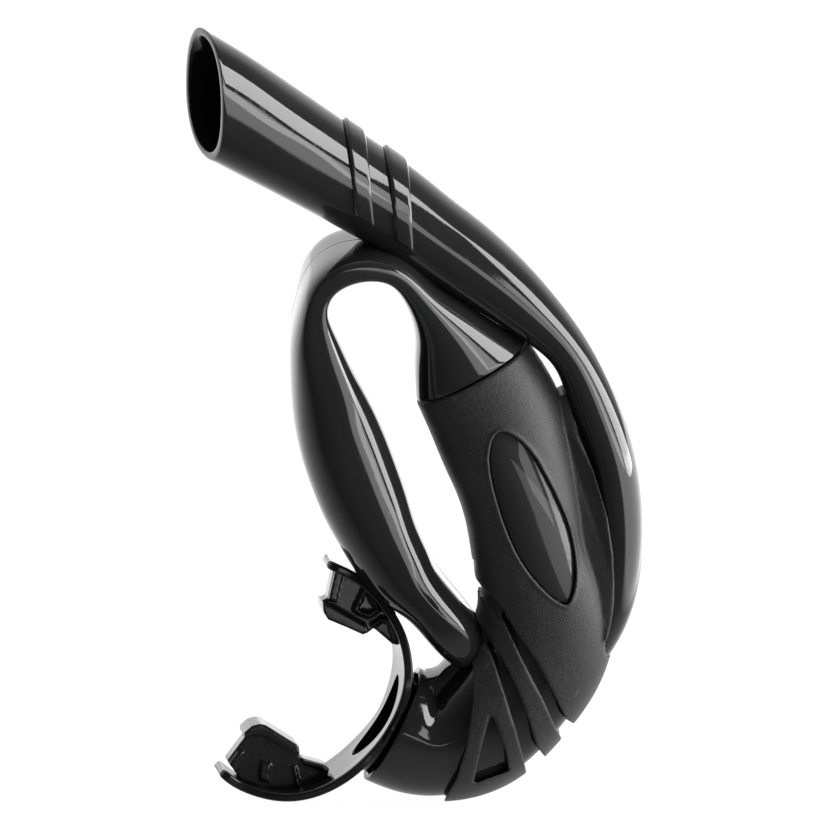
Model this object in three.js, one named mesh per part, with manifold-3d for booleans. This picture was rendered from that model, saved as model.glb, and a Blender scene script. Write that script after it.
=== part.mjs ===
// Twin-passage mouthpiece snorkel: flared barrel and swept tube, flattened loop duct ending in a
// cone, grip body in a soft sleeve, swivelling bite mouthpiece, one inhale and one exhale flap valve.
// Millimetres, +Z up. The ducts lie in the XZ plane, only the barrel leans out of it, toward -Y.
// The mouthpiece faces -X. Moulded half shells meet at the duct mid-surface: near is -Y, far is +Y.
import * as THREE from "three";
import { mergeVertices } from "three/addons/utils/BufferGeometryUtils.js";
import Module from "manifold-3d";

const wasm = await Module();
wasm.setup();

// ---- driving dimensions -------------------------------------------------
const WALL = 1.8; // duct wall
const GAP = 0.3; // running and seating gap between pieces
const SLEEVE_WALL = 2.0;
const BODY_INSET = 2.3; // body skin below the sleeve's outer surface
const ARC = 10; // divisions over half a duct section
const ROUND = 36; // divisions round the turned parts
const CUT_REACH = 30; // how far cutters through the grip reach to either side in Y
const WIDE_REACH = 40; // the same for the wider cutters
const SIMPLIFY = 0.05; // tolerance of the final mesh reduction
const ORIGIN = new THREE.Vector3(-0.3, -4.035, 1.14); // bottom centre of the whole object

const NEAR = -1;
const FAR = 1;

// Duct stations. Columns: x, z, y of the duct's centre, half width in the plane,
// half depth across it, squareness (2 is an ellipse, more is squarer).
const TUBE = [ // from the barrel's mouth down to the grip
  [-72.7, 211.7, -19.5, 16.5, 14.6, 2.2], [-56.9, 201.7, -13.3, 15.7, 14.2, 2.2],
  [-41.5, 191.1, -8.0, 14.2, 14.0, 2.2], [-26.1, 180.9, -3.0, 12.9, 13.6, 2.2],
  [-8.7, 167.0, -0.2, 12.4, 13.2, 2.2], [3.0, 159.8, 0.0, 11.6, 12.8, 2.2],
  [13.0, 153.3, 0.0, 10.7, 12.6, 2.2], [27.8, 141.6, 0.0, 9.1, 12.0, 2.3],
  [40.0, 126.9, 0.0, 7.3, 11.6, 2.4], [47.6, 113.9, 0.0, 6.7, 11.6, 2.4],
  [53.0, 97.6, 0.0, 6.7, 12.0, 2.4], [54.9, 80.6, 0.0, 6.9, 12.0, 2.4],
  [53.9, 64.5, 0.0, 6.9, 12.0, 2.4], [51.0, 53.5, 0.0, 6.9, 11.6, 2.3],
  [46.6, 45.0, 0.0, 6.6, 11.0, 2.2], [43.2, 40.3, 0.0, 6.4, 10.6, 2.2],
];
const LOOP = [ // from the grip's base up, over the top and down through the cone
  [15.4, 43.2, 0.0, 5.8, 10.8, 2.4], [12.4, 46.4, 0.0, 7.0, 13.2, 2.6],
  [7.8, 52.8, 0.0, 7.3, 16.0, 3.0], [2.1, 59.5, 0.0, 7.2, 15.6, 2.4],
  [-3.4, 68.7, 0.0, 8.8, 15.2, 2.0], [-8.3, 76.4, 0.0, 10.6, 15.8, 2.1],
  [-12.4, 85.1, 0.0, 11.8, 16.0, 2.2], [-16.2, 95.0, 0.0, 12.0, 16.0, 2.2],
  [-19.2, 103.7, 0.0, 12.0, 16.0, 2.2], [-23.5, 114.1, 0.0, 10.2, 16.0, 2.4],
  [-26.8, 123.1, 0.0, 7.2, 17.4, 3.0], [-29.5, 131.5, 0.0, 4.8, 18.4, 3.8],
  [-29.6, 139.0, 0.0, 4.2, 19.2, 4.6], [-26.3, 145.8, 0.0, 4.2, 19.6, 4.6],
  [-18.0, 151.5, 0.0, 4.2, 19.4, 4.4], [-8.1, 149.9, 0.0, 4.8, 18.2, 3.4],
  [-0.8, 142.8, 0.0, 6.3, 15.8, 2.8], [7.3, 132.4, 0.0, 11.0, 15.2, 2.3],
  [16.3, 119.6, 0.0, 14.8, 14.4, 2.1], [18.6, 115.4, 0.0, 15.0, 14.2, 2.0],
];
const BODY = [ // outer surface of the grip, from the cone down and round to the mouth neck
  [16.5, 119.1, 0.0, 17.3, 16.6, 2.1], [21.4, 109.8, 0.0, 18.2, 16.9, 2.1],
  [24.6, 100.6, 0.0, 17.8, 17.0, 2.2], [27.0, 93.3, 0.0, 16.9, 17.0, 2.2],
  [29.5, 83.2, 0.0, 16.4, 17.0, 2.3], [31.6, 71.1, 0.0, 16.5, 17.2, 2.3],
  [34.6, 60.6, 0.0, 18.1, 17.5, 2.3], [35.3, 51.5, 0.0, 19.2, 17.8, 2.3],
  [32.2, 41.2, 0.0, 19.2, 18.0, 2.3], [27.8, 34.8, 0.0, 19.2, 18.0, 2.3],
  [22.4, 27.9, 0.0, 19.0, 18.0, 2.3], [16.5, 22.4, 0.0, 18.8, 18.0, 2.2],
  [9.5, 19.4, 0.0, 18.2, 17.6, 2.1], [3.4, 18.9, 0.0, 17.6, 17.2, 2.0],
  [-1.9, 20.5, 0.0, 17.2, 16.8, 2.0], [-6.7, 22.98, 0.0, 17.0, 16.5, 2.0],
];
// Depth of the body's skin below that surface, one value per BODY row; it rises to meet it at the neck.
const BODY_SKIN = [...Array(12).fill(BODY_INSET), 2.2, 1.2, 0.4, 0.0];

// ---- sections and lofts ---------------------------------------------------
const vec = (x, y, z) => new THREE.Vector3(x, y, z);

// Cross sections over rows from..to of a station table, about `step` rows apart (fractions allowed).
// `inset` shrinks them evenly, `skin` by a further amount per row.
function sections(table, { from = 0, to = table.length - 1, step, inset = 0, skin = null }) {
  const centres = table.map(([x, z, y]) => vec(x, y, z));
  const sizes = table.map((row) => vec(row[3], row[4], row[5]));
  const path = new THREE.CatmullRomCurve3(centres, false, "centripetal");
  const sizeCurve = new THREE.CatmullRomCurve3(sizes, false, "catmullrom", 0.5);
  const last = table.length - 1;
  const tangentReach = 0.004; // curve parameter either side of the section
  const count = Math.round((to - from) / step);
  const result = [];
  for (let i = 0; i <= count; i++) {
    const row = from + ((to - from) * i) / count;
    const t = Math.min(1, Math.max(0, row / last));
    const before = path.getPoint(Math.max(0, t - tangentReach));
    const along = path.getPoint(Math.min(1, t + tangentReach)).sub(before).normalize();
    const inPlane = vec(-along.z, 0, along.x).normalize(); // square to the path
    const across = inPlane.clone().cross(along).normalize(); // toward the far side
    const size = sizeCurve.getPoint(t);
    let shrink = inset;
    if (skin) {
      const skinRow = Math.min(last - 1e-6, row);
      const j = Math.floor(skinRow);
      shrink += skin[j] + (skin[j + 1] - skin[j]) * (skinRow - j);
    }
    result.push({
      point: path.getPoint(t),
      along,
      inPlane,
      across,
      halfWidth: size.x - shrink,
      halfDepth: size.y - shrink,
      squareness: size.z,
    });
  }
  return result;
}

// Superellipse coordinate from a cosine or sine.
function power(value, squareness) {
  return Math.sign(value) * Math.pow(Math.abs(value), 2 / squareness);
}

function pointAt(section, inPlane, across) {
  return section.point
    .clone()
    .addScaledVector(section.inPlane, inPlane)
    .addScaledVector(section.across, across);
}

// A manifold from any closed geometry, turned right side out.
function solid(geometry) {
  geometry.deleteAttribute("normal");
  geometry.deleteAttribute("uv");
  const merged = mergeVertices(geometry, 1e-4);
  const vertProperties = new Float32Array(merged.attributes.position.array);
  const triVerts = new Uint32Array(merged.index.array);
  const build = () => new wasm.Manifold(new wasm.Mesh({ numProp: 3, vertProperties, triVerts }));
  const result = build();
  if (result.volume() >= 0) return result;
  for (let i = 0; i < triVerts.length; i += 3) {
    [triVerts[i + 1], triVerts[i + 2]] = [triVerts[i + 2], triVerts[i + 1]];
  }
  return build();
}

// A closed solid skinned over rings of equal length, with `addCap` closing both ends.
function skinRings(rings, addCap) {
  const size = rings[0].length;
  const points = rings.flat();
  const index = [];
  for (let i = 0; i + 1 < rings.length; i++) {
    for (let j = 0; j < size; j++) {
      const a = i * size + j;
      const b = i * size + ((j + 1) % size);
      index.push(a, b, a + size, b, b + size, a + size);
    }
  }
  addCap(points, index, 0, size, true);
  addCap(points, index, (rings.length - 1) * size, size, false);
  const geometry = new THREE.BufferGeometry().setFromPoints(points);
  geometry.setIndex(index);
  return solid(geometry);
}

// Cap as a fan round the ring's middle.
function fanCap(points, index, start, size, reversed) {
  const middle = vec(0, 0, 0);
  for (let j = 0; j < size; j++) middle.add(points[start + j]);
  const centre = points.length;
  points.push(middle.multiplyScalar(1 / size));
  for (let j = 0; j < size; j++) {
    const a = start + j;
    const b = start + ((j + 1) % size);
    index.push(centre, ...(reversed ? [b, a] : [a, b]));
  }
}

// Cap as a strip between the outer and inner arcs of a C section.
function stripCap(points, index, start, size, reversed) {
  for (let j = 0; j < ARC; j++) {
    const outer = start + j;
    const inner = start + size - 1 - j;
    if (reversed) index.push(outer, inner, outer + 1, outer + 1, inner, inner - 1);
    else index.push(outer, outer + 1, inner, outer + 1, inner - 1, inner);
  }
}

// The whole duct as a filled solid, grown by `grow`.
function duct(secs, grow = 0) {
  const around = 2 * ARC;
  const rings = secs.map((s) => {
    const ring = [];
    for (let j = 0; j < around; j++) {
      const angle = (2 * Math.PI * j) / around;
      const u = (s.halfWidth + grow) * power(Math.cos(angle), s.squareness);
      const w = (s.halfDepth + grow) * power(Math.sin(angle), s.squareness);
      ring.push(pointAt(s, u, w));
    }
    return ring;
  });
  return skinRings(rings, fanCap);
}

// The same, overshooting both ends so that as a cutter it opens them.
function openDuct(secs, grow = 0) {
  const overshoot = (s, by) => ({ ...s, point: s.point.clone().addScaledVector(s.along, by) });
  return duct([overshoot(secs[0], -3), ...secs, overshoot(secs[secs.length - 1], 3)], grow);
}

// One moulded half of a duct: an open C section along the path.
function halfDuct(secs, side) {
  const seam = GAP / 2;
  const rings = secs.map((s) => {
    const rim = (inset, j) => {
      const angle = (Math.PI * j) / ARC;
      const u = (s.halfWidth - inset) * power(Math.cos(angle), s.squareness);
      const depth = (s.halfDepth - inset - seam) * power(Math.sin(angle), s.squareness);
      return pointAt(s, u, side * (seam + depth));
    };
    const ring = [];
    for (let j = 0; j <= ARC; j++) ring.push(rim(0, j));
    for (let j = ARC; j >= 0; j--) ring.push(rim(WALL, j));
    return ring;
  });
  return skinRings(rings, stripCap);
}

// ---- simple solids ----------------------------------------------------------
// A prism over an [x, z] outline, from y0 to y1.
function prism(outline, y0, y1) {
  const shape = new THREE.Shape(outline.map(([x, z]) => new THREE.Vector2(x, z)));
  const geometry = new THREE.ExtrudeGeometry(shape, { depth: y1 - y0, bevelEnabled: false });
  geometry.rotateX(Math.PI / 2); // shape y to +Z, extrusion to -Y
  geometry.translate(0, y1, 0);
  return solid(geometry);
}

const through = (outline, reach) => prism(outline, -reach, reach);

// An XY shape extruded upward from z.
function extrude(shape, { z, depth, curveSegments }) {
  const options = { depth, bevelEnabled: false, curveSegments };
  return solid(new THREE.ExtrudeGeometry(shape, options)).translate([0, 0, z]);
}

const box = (x, y, z) => solid(new THREE.BoxGeometry(x, y, z));

// A centred cylinder on the z axis.
function cylinder(radius, height, segments) {
  return solid(new THREE.CylinderGeometry(radius, radius, height, segments)).rotate([90, 0, 0]);
}

// A closed [radius, z] profile turned round the z axis.
function revolve(profile) {
  const points = profile.map(([radius, z]) => new THREE.Vector2(radius, z));
  return solid(new THREE.LatheGeometry(points, ROUND)).rotate([90, 0, 0]);
}

function tubeRing(rIn, rOut, z0, z1) {
  return revolve([[rIn, z0], [rOut, z0], [rOut, z1], [rIn, z1], [rIn, z0]]);
}

const place = (part, matrix) => part.transform(Array.from(matrix.elements));

const cutAll = (part, cutters) => cutters.reduce((rest, cutter) => rest.subtract(cutter), part);

function largest(part) {
  return part.decompose().reduce((best, piece) => (piece.volume() > best.volume() ? piece : best));
}

// ---- main tube ------------------------------------------------------------
const RIB_PROUD = 0.9; // ribs above the tube's skin, and as far below it
const RIB_ROWS = { from: 2.2, to: 5.4 };
// [x, z] strips across the tube
const RIB_STRIPS = [
  [[-21.6, 199], [-16.2, 199], [-4.8, 163.2], [-11.2, 165.3]],
  [[-11.0, 191], [-5.6, 191], [5.4, 156.4], [-0.9, 158.4]],
];
const MOUTH_CUT = {
  point: vec(-57.8, -13.3, 201.9), // on the cut face
  outward: vec(-0.952, -0.285, -0.112).normalize(),
  width: 200,
  thickness: 60,
};

const tubeSecs = sections(TUBE, { step: 0.7 });
const tubeClearance = duct(tubeSecs, GAP);
const ribClearance = duct(sections(TUBE, { ...RIB_ROWS, step: 0.6 }), RIB_PROUD + GAP);
const mouthCut = barrelMouthCut();
const ribs = tubeRibs();

// Slab that trims the barrel's open end on a slant.
function barrelMouthCut() {
  const { point, outward, width, thickness } = MOUTH_CUT;
  const geometry = new THREE.BoxGeometry(width, width, thickness);
  geometry.applyQuaternion(new THREE.Quaternion().setFromUnitVectors(vec(0, 0, 1), outward));
  const centre = point.clone().addScaledVector(outward, thickness / 2);
  geometry.translate(centre.x, centre.y, centre.z);
  return solid(geometry);
}

function tubeRibs() {
  const outer = duct(sections(TUBE, { ...RIB_ROWS, step: 0.4 }), RIB_PROUD);
  const inner = duct(sections(TUBE, { from: 2, to: 5.6, step: 0.6 }), -RIB_PROUD);
  const [upper, lower] = RIB_STRIPS.map((strip) => through(strip, WIDE_REACH));
  return outer.subtract(inner).intersect(upper.add(lower));
}

// Everything on one side of the tube's mid-surface, along the ribbed stretch.
function tubeSide(side) {
  const seam = side * GAP * 0.5;
  const edge = side * WIDE_REACH;
  const rings = sections(TUBE, { from: 1, to: 6, step: 0.6 }).map((s) => [
    pointAt(s, -WIDE_REACH, seam),
    pointAt(s, WIDE_REACH, seam),
    pointAt(s, WIDE_REACH, edge),
    pointAt(s, -WIDE_REACH, edge),
  ]);
  return skinRings(rings, fanCap);
}

function tubeShell(side) {
  return largest(halfDuct(tubeSecs, side).subtract(mouthCut).add(ribs.intersect(tubeSide(side))));
}

// ---- loop duct with cone ---------------------------------------------------
const loopSecs = sections(LOOP, { step: 0.7 });
const loopClearance = duct(loopSecs, GAP);

function loopShell(side) {
  return largest(cutAll(halfDuct(loopSecs, side), [tubeClearance, ribClearance]));
}

// ---- grip body ---------------------------------------------------------------
const BODY_TOP = 0.66; // BODY row where the body shells begin
const BODY_STEP = 0.82;
const bodySecs = sections(BODY, { from: BODY_TOP, step: BODY_STEP, skin: BODY_SKIN });

function bodyShell(side) {
  return largest(cutAll(halfDuct(bodySecs, side), [tubeClearance, loopClearance]));
}

// ---- grip sleeve and inlays ----------------------------------------------------
// [x, z] outlines cut through the sleeve
const OUTER_SLOT = [ // the one farther toward +X
  [21.8, 55.4], [24.0, 52.3], [28.9, 41.9], [33.8, 32.3], [36.7, 24.7], [42.0, 11.5],
  [48.0, 15.0], [40.6, 26.6], [35.6, 36.8], [31.9, 43.9], [26.5, 52.0], [23.8, 56.0],
];
const INNER_SLOT = [
  [19.6, 45.4], [21.6, 41.4], [24.3, 31.9], [26.7, 23.8], [28.4, 16.5], [29.8, 4.0],
  [36.4, 6.5], [32.4, 18.9], [29.4, 29.9], [26.3, 37.9], [22.9, 44.4], [21.2, 46.2],
];
const FIN_WINDOW = [
  [19.7, 29.4], [18.2, 22.4], [14.6, 9.0], [24.8, 12.6], [22.8, 18.6], [20.9, 26.0],
];
// Ends the sleeve's lower part on the mouthpiece side.
const BASE_CUT = [
  [16.6, 58.6], [14.2, 54.0], [14.4, 46.0], [14.9, 40.0], [15.1, 33.5], [14.3, 26.4],
  [13.0, 18.6], [10.5, 10.6], [6.6, 4.0], [3.0, -6.0], [-20.0, -6.0], [-20.0, 58.6],
];
// Control points of the oval inlay window, anticlockwise in x, z.
const OVAL = [
  [23.6, 107.4], [20.0, 103.0], [20.2, 93.7], [22.5, 82.5], [27.6, 72.0], [34.0, 63.6],
  [39.6, 59.4], [42.2, 62.9], [42.2, 70.5], [40.6, 78.6], [36.2, 90.7], [29.4, 102.4],
];
const OVAL_POINTS = 26;
const INLAY_SKIN = { outer: 0.5, inner: 1.9 }; // inlay faces below the sleeve's surface
const INLAY_INNER_Y = 4; // inlays are kept only beyond this distance from the mid-plane

const ovalOutline = smoothOutline(OVAL, OVAL_POINTS);

function smoothOutline(outline, count) {
  const curve = new THREE.CatmullRomCurve3(outline.map(([x, z]) => vec(x, 0, z)), true, "centripetal");
  return curve.getPoints(count).slice(0, count).map((p) => [p.x, p.z]);
}

// Moves each point of an anticlockwise outline inward.
function shrinkOutline(outline, by) {
  const count = outline.length;
  return outline.map(([x, z], i) => {
    const before = outline[(i + count - 1) % count];
    const after = outline[(i + 1) % count];
    const dx = after[0] - before[0];
    const dz = after[1] - before[1];
    const length = Math.hypot(dx, dz);
    return [x - (dz * by) / length, z + (dx * by) / length];
  });
}

function gripSleeve() {
  // Thins the sleeve's top end, above where the body shells begin.
  const topCore = sections(BODY, { to: BODY_TOP + 0.2, step: 0.43, inset: SLEEVE_WALL });
  const windows = [OUTER_SLOT, INNER_SLOT, FIN_WINDOW, ovalOutline];
  return largest(cutAll(duct(sections(BODY, { to: 13.2, step: BODY_STEP })), [
    openDuct(topCore),
    openDuct(bodySecs, GAP),
    tubeClearance,
    loopClearance,
    ...windows.map((outline) => through(outline, CUT_REACH)),
    through(BASE_CUT, WIDE_REACH),
  ]));
}

function gripInlay(side) {
  const outer = duct(sections(BODY, { from: 0.8, to: 7.2, step: 0.6, inset: INLAY_SKIN.outer }));
  const inner = duct(sections(BODY, { from: 0.6, to: 7.4, step: 0.6, inset: INLAY_SKIN.inner }));
  const outline = shrinkOutline(ovalOutline, GAP);
  const plug = side === NEAR
    ? prism(outline, -CUT_REACH, -INLAY_INNER_Y)
    : prism(outline, INLAY_INNER_Y, CUT_REACH);
  return largest(outer.subtract(inner).intersect(plug).subtract(tubeClearance));
}

// ---- coupler inside the cone and body joint --------------------------------------
const COUPLER_PLAY = { outer: 0.45, bore: 2.2 }; // its faces below the body's bore less GAP

function coneCoupler() {
  const run = (play) =>
    sections(BODY, { from: 0.2, to: 1.15, step: 0.4, inset: BODY_INSET + WALL + GAP + play });
  return duct(run(COUPLER_PLAY.outer)).subtract(openDuct(run(COUPLER_PLAY.bore)));
}

// ---- exhale valve: a spoked plate across the body above the mouth passage ---------------
// Local x runs up the plate, z back to the mouth passage; the flap is on the chamber side, -z.
const EX_PLATE = { size: 60, thickness: 2 }; // trimmed to the body's bore
const EX_HOLE = { radius: 6.2, spokes: 3, spokeWidth: 1.4, hubRadius: 2.2 };
const EX_FLAP = { radius: 7.4, thickness: 1.2 };
const EX_TAB = { length: 3.4, width: 7, beyond: 0.6 }; // its middle `beyond` the disc's edge
const EX_CLIP = { section: 1.6, width: 9, beyond: 3.5 };
const exFlapFace = -EX_PLATE.thickness / 2 - GAP; // local z
const exFrame = new THREE.Matrix4()
  .makeBasis(
    vec(-0.527, 0, 0.85).normalize(),
    vec(0, 1, 0),
    vec(0.85, 0, 0.527).normalize().negate(),
  )
  .setPosition(29.5, 0, 35.0);

// The round opening as a cutter, less its spokes and hub.
function exhaleOpening() {
  const { radius, spokes, spokeWidth, hubRadius } = EX_HOLE;
  let opening = cylinder(radius, 8, 32);
  for (let i = 0; i < spokes; i++) {
    const spoke = box(2 * radius + 4, spokeWidth, 10).rotate([0, 0, (180 / spokes) * i]);
    opening = opening.subtract(spoke);
  }
  return opening.subtract(cylinder(hubRadius, 10, 20));
}

function exhaleSeat() {
  const bore = sections(BODY, { from: 6.5, to: 12, step: 0.6, skin: BODY_SKIN, inset: WALL + GAP });
  const plate = place(box(EX_PLATE.size, EX_PLATE.size, EX_PLATE.thickness), exFrame);
  return cutAll(plate.intersect(openDuct(bore)), [
    place(exhaleOpening(), exFrame),
    tubeClearance,
    loopClearance,
  ]);
}

// A disc with a tab at its lower edge.
function exhaleFlap() {
  const { radius, thickness } = EX_FLAP;
  const tab = box(EX_TAB.length, EX_TAB.width, thickness).translate([-radius - EX_TAB.beyond, 0, 0]);
  const flap = cylinder(radius, thickness, 36).add(tab);
  return place(flap.translate([0, 0, exFlapFace - thickness / 2]), exFrame);
}

// A bar just past the tab's end.
function exhaleClip() {
  const { section, width, beyond } = EX_CLIP;
  const bar = box(section, width, section);
  return place(bar.translate([-EX_FLAP.radius - beyond, 0, exFlapFace - section / 2]), exFrame);
}

// ---- inhale valve: slotted plug inside the loop's lower branch, flap on its base side ------
// Local x is the section's in-plane direction, z leads down the duct toward the base.
const IN_ROW = 3.5; // LOOP row of the valve
const IN_SLOT = { count: 4, pitch: 3.6, length: 5.4, width: 2.6, shift: 0.2 };
const IN_FLAP = { width: 8.6, length: 17.6, thickness: 1.1, round: 3, taper: 1.4 };
const inSecs = sections(LOOP, { from: IN_ROW, to: IN_ROW + 0.3, step: 0.15, inset: WALL + GAP });
const inFrame = new THREE.Matrix4()
  .makeBasis(inSecs[0].inPlane, vec(0, 1, 0), inSecs[0].inPlane.clone().cross(vec(0, 1, 0)))
  .setPosition(inSecs[0].point);

function inhaleSeat() {
  let seat = duct(inSecs);
  for (let i = 0; i < IN_SLOT.count; i++) {
    const y = (i - (IN_SLOT.count - 1) / 2) * IN_SLOT.pitch;
    const slot = box(IN_SLOT.length, IN_SLOT.width, 20).translate([IN_SLOT.shift, y, 0]);
    seat = seat.subtract(place(slot, inFrame));
  }
  return seat;
}

// Rounded corners toward local -x, slightly tapered ends toward +x.
function inhaleFlap() {
  const x = IN_FLAP.width / 2;
  const y = IN_FLAP.length / 2;
  const shape = new THREE.Shape();
  shape.moveTo(-x, -y + IN_FLAP.round);
  shape.quadraticCurveTo(-x, -y, 0, -y);
  shape.lineTo(x, -y + IN_FLAP.taper);
  shape.lineTo(x, y - IN_FLAP.taper);
  shape.lineTo(0, y);
  shape.quadraticCurveTo(-x, y, -x, y - IN_FLAP.round);
  shape.closePath();
  return place(extrude(shape, { z: GAP, depth: IN_FLAP.thickness, curveSegments: 6 }), inFrame);
}

// ---- mouthpiece and its swivel ----------------------------------------------------
// Local frame: x across the mouth, y along the lips' height, z toward the mouth;
// origin where the neck axis meets the lip flange.
const REST_TURN = 8; // degrees the mouthpiece is turned on its neck
const neckFrame = new THREE.Matrix4()
  .makeBasis(
    vec(0.473, 0, 0.881).normalize(),
    vec(0, 1, 0),
    vec(-0.881, 0, 0.473).normalize(),
  )
  .setPosition(-7.0, 0, 23.15);
const mouthFrame = neckFrame
  .clone()
  .multiply(new THREE.Matrix4().makeRotationZ((REST_TURN * Math.PI) / 180));

// Lip flange seen along y: local x, z of its curved face.
const FLANGE = [
  [32.6, 36.6], [32.9, 28.3], [31.2, 21.0], [28.1, 14.6], [24.1, 9.2], [19.0, 5.0],
  [14.0, 2.3], [8.3, 0.7], [1.7, 0.0], [-4.6, 0.6], [-11.3, 2.4], [-17.8, 5.0],
  [-24.3, 9.2], [-29.6, 14.9], [-32.6, 20.9], [-34.0, 27.2], [-34.0, 32.2], [-33.0, 36.6],
];
const FLANGE_WALL = 2.2;
const FLANGE_DIVISIONS = 34;
// Lip outline seen from the mouth, a little waisted at the middle. It starts at LIP_START;
// each row is one Bezier curve: x, y of two control points and of the end.
const LIP_START = [-36, 0];
const LIP_CURVES = [
  [-36, 8.5, -33, 11.6, -25, 13.2], [-15, 15.0, -8, 14.6, 0, 13.2],
  [8, 14.6, 15, 15.0, 24, 13.2], [31, 11.6, 35, 7.5, 35, 0],
  [35, -7.5, 31, -11.6, 24, -13.2], [15, -15.0, 8, -14.6, 0, -13.2],
  [-8, -14.6, -15, -15.0, -25, -13.2], [-33, -11.6, -36, -8.5, -36, 0],
];
// Bite piece for the +x side: local x, z outlines and their half heights along y.
const BITE_PARTS = [
  { // long plate
    halfHeight: 3.2,
    outline: [
      [31.0, 34.6], [22.6, 33.6], [18.6, 33.0], [18.2, 21.4], [20.4, 19.2], [20.6, 16.0],
      [19.6, 12.0], [20.8, 9.6], [24.2, 10.6], [28.4, 16.6], [31.0, 23.4], [31.6, 30.0],
    ],
  },
  { // taller lug along its inner edge
    halfHeight: 6.6,
    outline: [
      [21.4, 35.0], [18.4, 33.4], [16.8, 31.0], [17.1, 25.7],
      [17.7, 20.4], [20.6, 18.6], [21.8, 20.0], [21.6, 31.0],
    ],
  },
  { // rib across its free end
    halfHeight: 5.4,
    outline: [[31.2, 34.8], [24.6, 34.2], [24.4, 31.8], [31.6, 31.8]],
  },
];
// Radii, and z along the neck axis
const SPIGOT = { bore: 9.6, radius: 11.4, top: -1.4, bottom: -12.0 };
const SNAP_FLANGE = { radius: 12.9, top: -10.7 }; // at the spigot's bottom
const CUFF = { radius: 13.1, bottom: -6.6, top: 1.9 };
const CUFF_BORE = { height: 9.8, middle: -5.9 };
const AIRWAY = { halfWidth: 12.6, halfHeight: 8.2, bottom: -1, depth: 20 };
const CLAMP = { thickness: 0.7, bottom: -5.6, top: -3.4 };
const COLLAR = { bore: 11.8, radius: 13.8, bottom: -9.6, top: -7.6, chamfer: 0.6 };
const SEAL = { radius: 12.3, thickness: 0.4, z: -10.15 }; // midway from snap flange to collar

function lipFlange() {
  const path = new THREE.CatmullRomCurve3(FLANGE.map(([x, z]) => vec(x, 0, z)), false, "centripetal");
  const points = path.getPoints(FLANGE_DIVISIONS);
  const face = points.map((p) => [p.x, p.z]);
  const back = points.map((p, i) => {
    const before = points[Math.max(0, i - 1)];
    const after = points[Math.min(FLANGE_DIVISIONS, i + 1)];
    const along = after.clone().sub(before).normalize();
    return [p.x + along.z * FLANGE_WALL, p.z - along.x * FLANGE_WALL];
  });
  const lips = new THREE.Shape();
  lips.moveTo(...LIP_START);
  for (const curve of LIP_CURVES) lips.bezierCurveTo(...curve);
  const lipPrism = extrude(lips, { z: -10, depth: 60, curveSegments: 6 });
  return prism([...face, ...back.reverse()], -20, 20).intersect(lipPrism);
}

function bite(mirror) {
  return BITE_PARTS
    .map(({ outline, halfHeight }) => through(outline.map(([x, z]) => [mirror * x, z]), halfHeight))
    .reduce((joined, part) => joined.add(part));
}

function airwayCut() {
  const { halfWidth, halfHeight, bottom, depth } = AIRWAY;
  const oval = new THREE.Shape();
  oval.absellipse(0, 0, halfWidth, halfHeight, 0, 2 * Math.PI, false, 0);
  return extrude(oval, { z: bottom, depth, curveSegments: 16 });
}

// Lip flange, cuff and two bite pieces in one.
function mouthpiece() {
  const boreRadius = SPIGOT.radius + GAP;
  const cuff = tubeRing(boreRadius, CUFF.radius, CUFF.bottom, CUFF.top);
  const bore = cylinder(boreRadius, CUFF_BORE.height, ROUND).translate([0, 0, CUFF_BORE.middle]);
  const hollow = cutAll(lipFlange().add(cuff), [bore, airwayCut()]);
  return place(largest(hollow.add(bite(1)).add(bite(-1))), mouthFrame);
}

// Tube carrying the cuff, with a snap flange inside the body neck.
function mouthSpigot() {
  const { bore, radius, top, bottom } = SPIGOT;
  return place(revolve([
    [bore, top],
    [radius, top],
    [radius, SNAP_FLANGE.top],
    [SNAP_FLANGE.radius, SNAP_FLANGE.top],
    [SNAP_FLANGE.radius, bottom],
    [bore, bottom],
    [bore, top],
  ]), neckFrame);
}

// Band round the cuff.
function mouthClamp() {
  const bore = CUFF.radius + GAP;
  return place(tubeRing(bore, bore + CLAMP.thickness, CLAMP.bottom, CLAMP.top), neckFrame);
}

// Collar in the body's neck, chamfered at its lower outer edge.
function neckCollar() {
  const { bore, radius, bottom, top, chamfer } = COLLAR;
  return place(revolve([
    [bore, bottom],
    [radius - chamfer, bottom],
    [radius, bottom + chamfer],
    [radius, top],
    [bore, top],
    [bore, bottom],
  ]), neckFrame);
}

function neckSeal() {
  const torus = solid(new THREE.TorusGeometry(SEAL.radius, SEAL.thickness, 8, 32));
  return place(torus.translate([0, 0, SEAL.z]), neckFrame);
}

// ---- assembly -------------------------------------------------------------------
const MATERIALS = {
  gloss: { color: 0x0b0b0c, roughness: 0.12, metalness: 0 },
  rubber: { color: 0x2a2a2b, roughness: 0.85, metalness: 0 },
  silicone: { color: 0x101011, roughness: 0.28, metalness: 0 },
  inlay: { color: 0x0a0a0b, roughness: 0.08, metalness: 0 },
  matte: { color: 0x1b1b1d, roughness: 0.6, metalness: 0 },
};

const root = new THREE.Group();
root.name = "snorkel";
root.position.copy(ORIGIN).negate();

function addGroup(name, pieces) {
  const group = new THREE.Group();
  group.name = name;
  for (const [pieceName, part, material] of pieces) group.add(toMesh(pieceName, part, material));
  root.add(group);
}

function toMesh(name, part, material) {
  const { vertProperties, triVerts } = part.simplify(SIMPLIFY).getMesh();
  const geometry = new THREE.BufferGeometry();
  geometry.setAttribute("position", new THREE.Float32BufferAttribute(vertProperties, 3));
  geometry.setIndex(Array.from(triVerts));
  geometry.computeVertexNormals();
  const mesh = new THREE.Mesh(geometry, new THREE.MeshStandardMaterial(MATERIALS[material]));
  mesh.name = name;
  return mesh;
}

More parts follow.
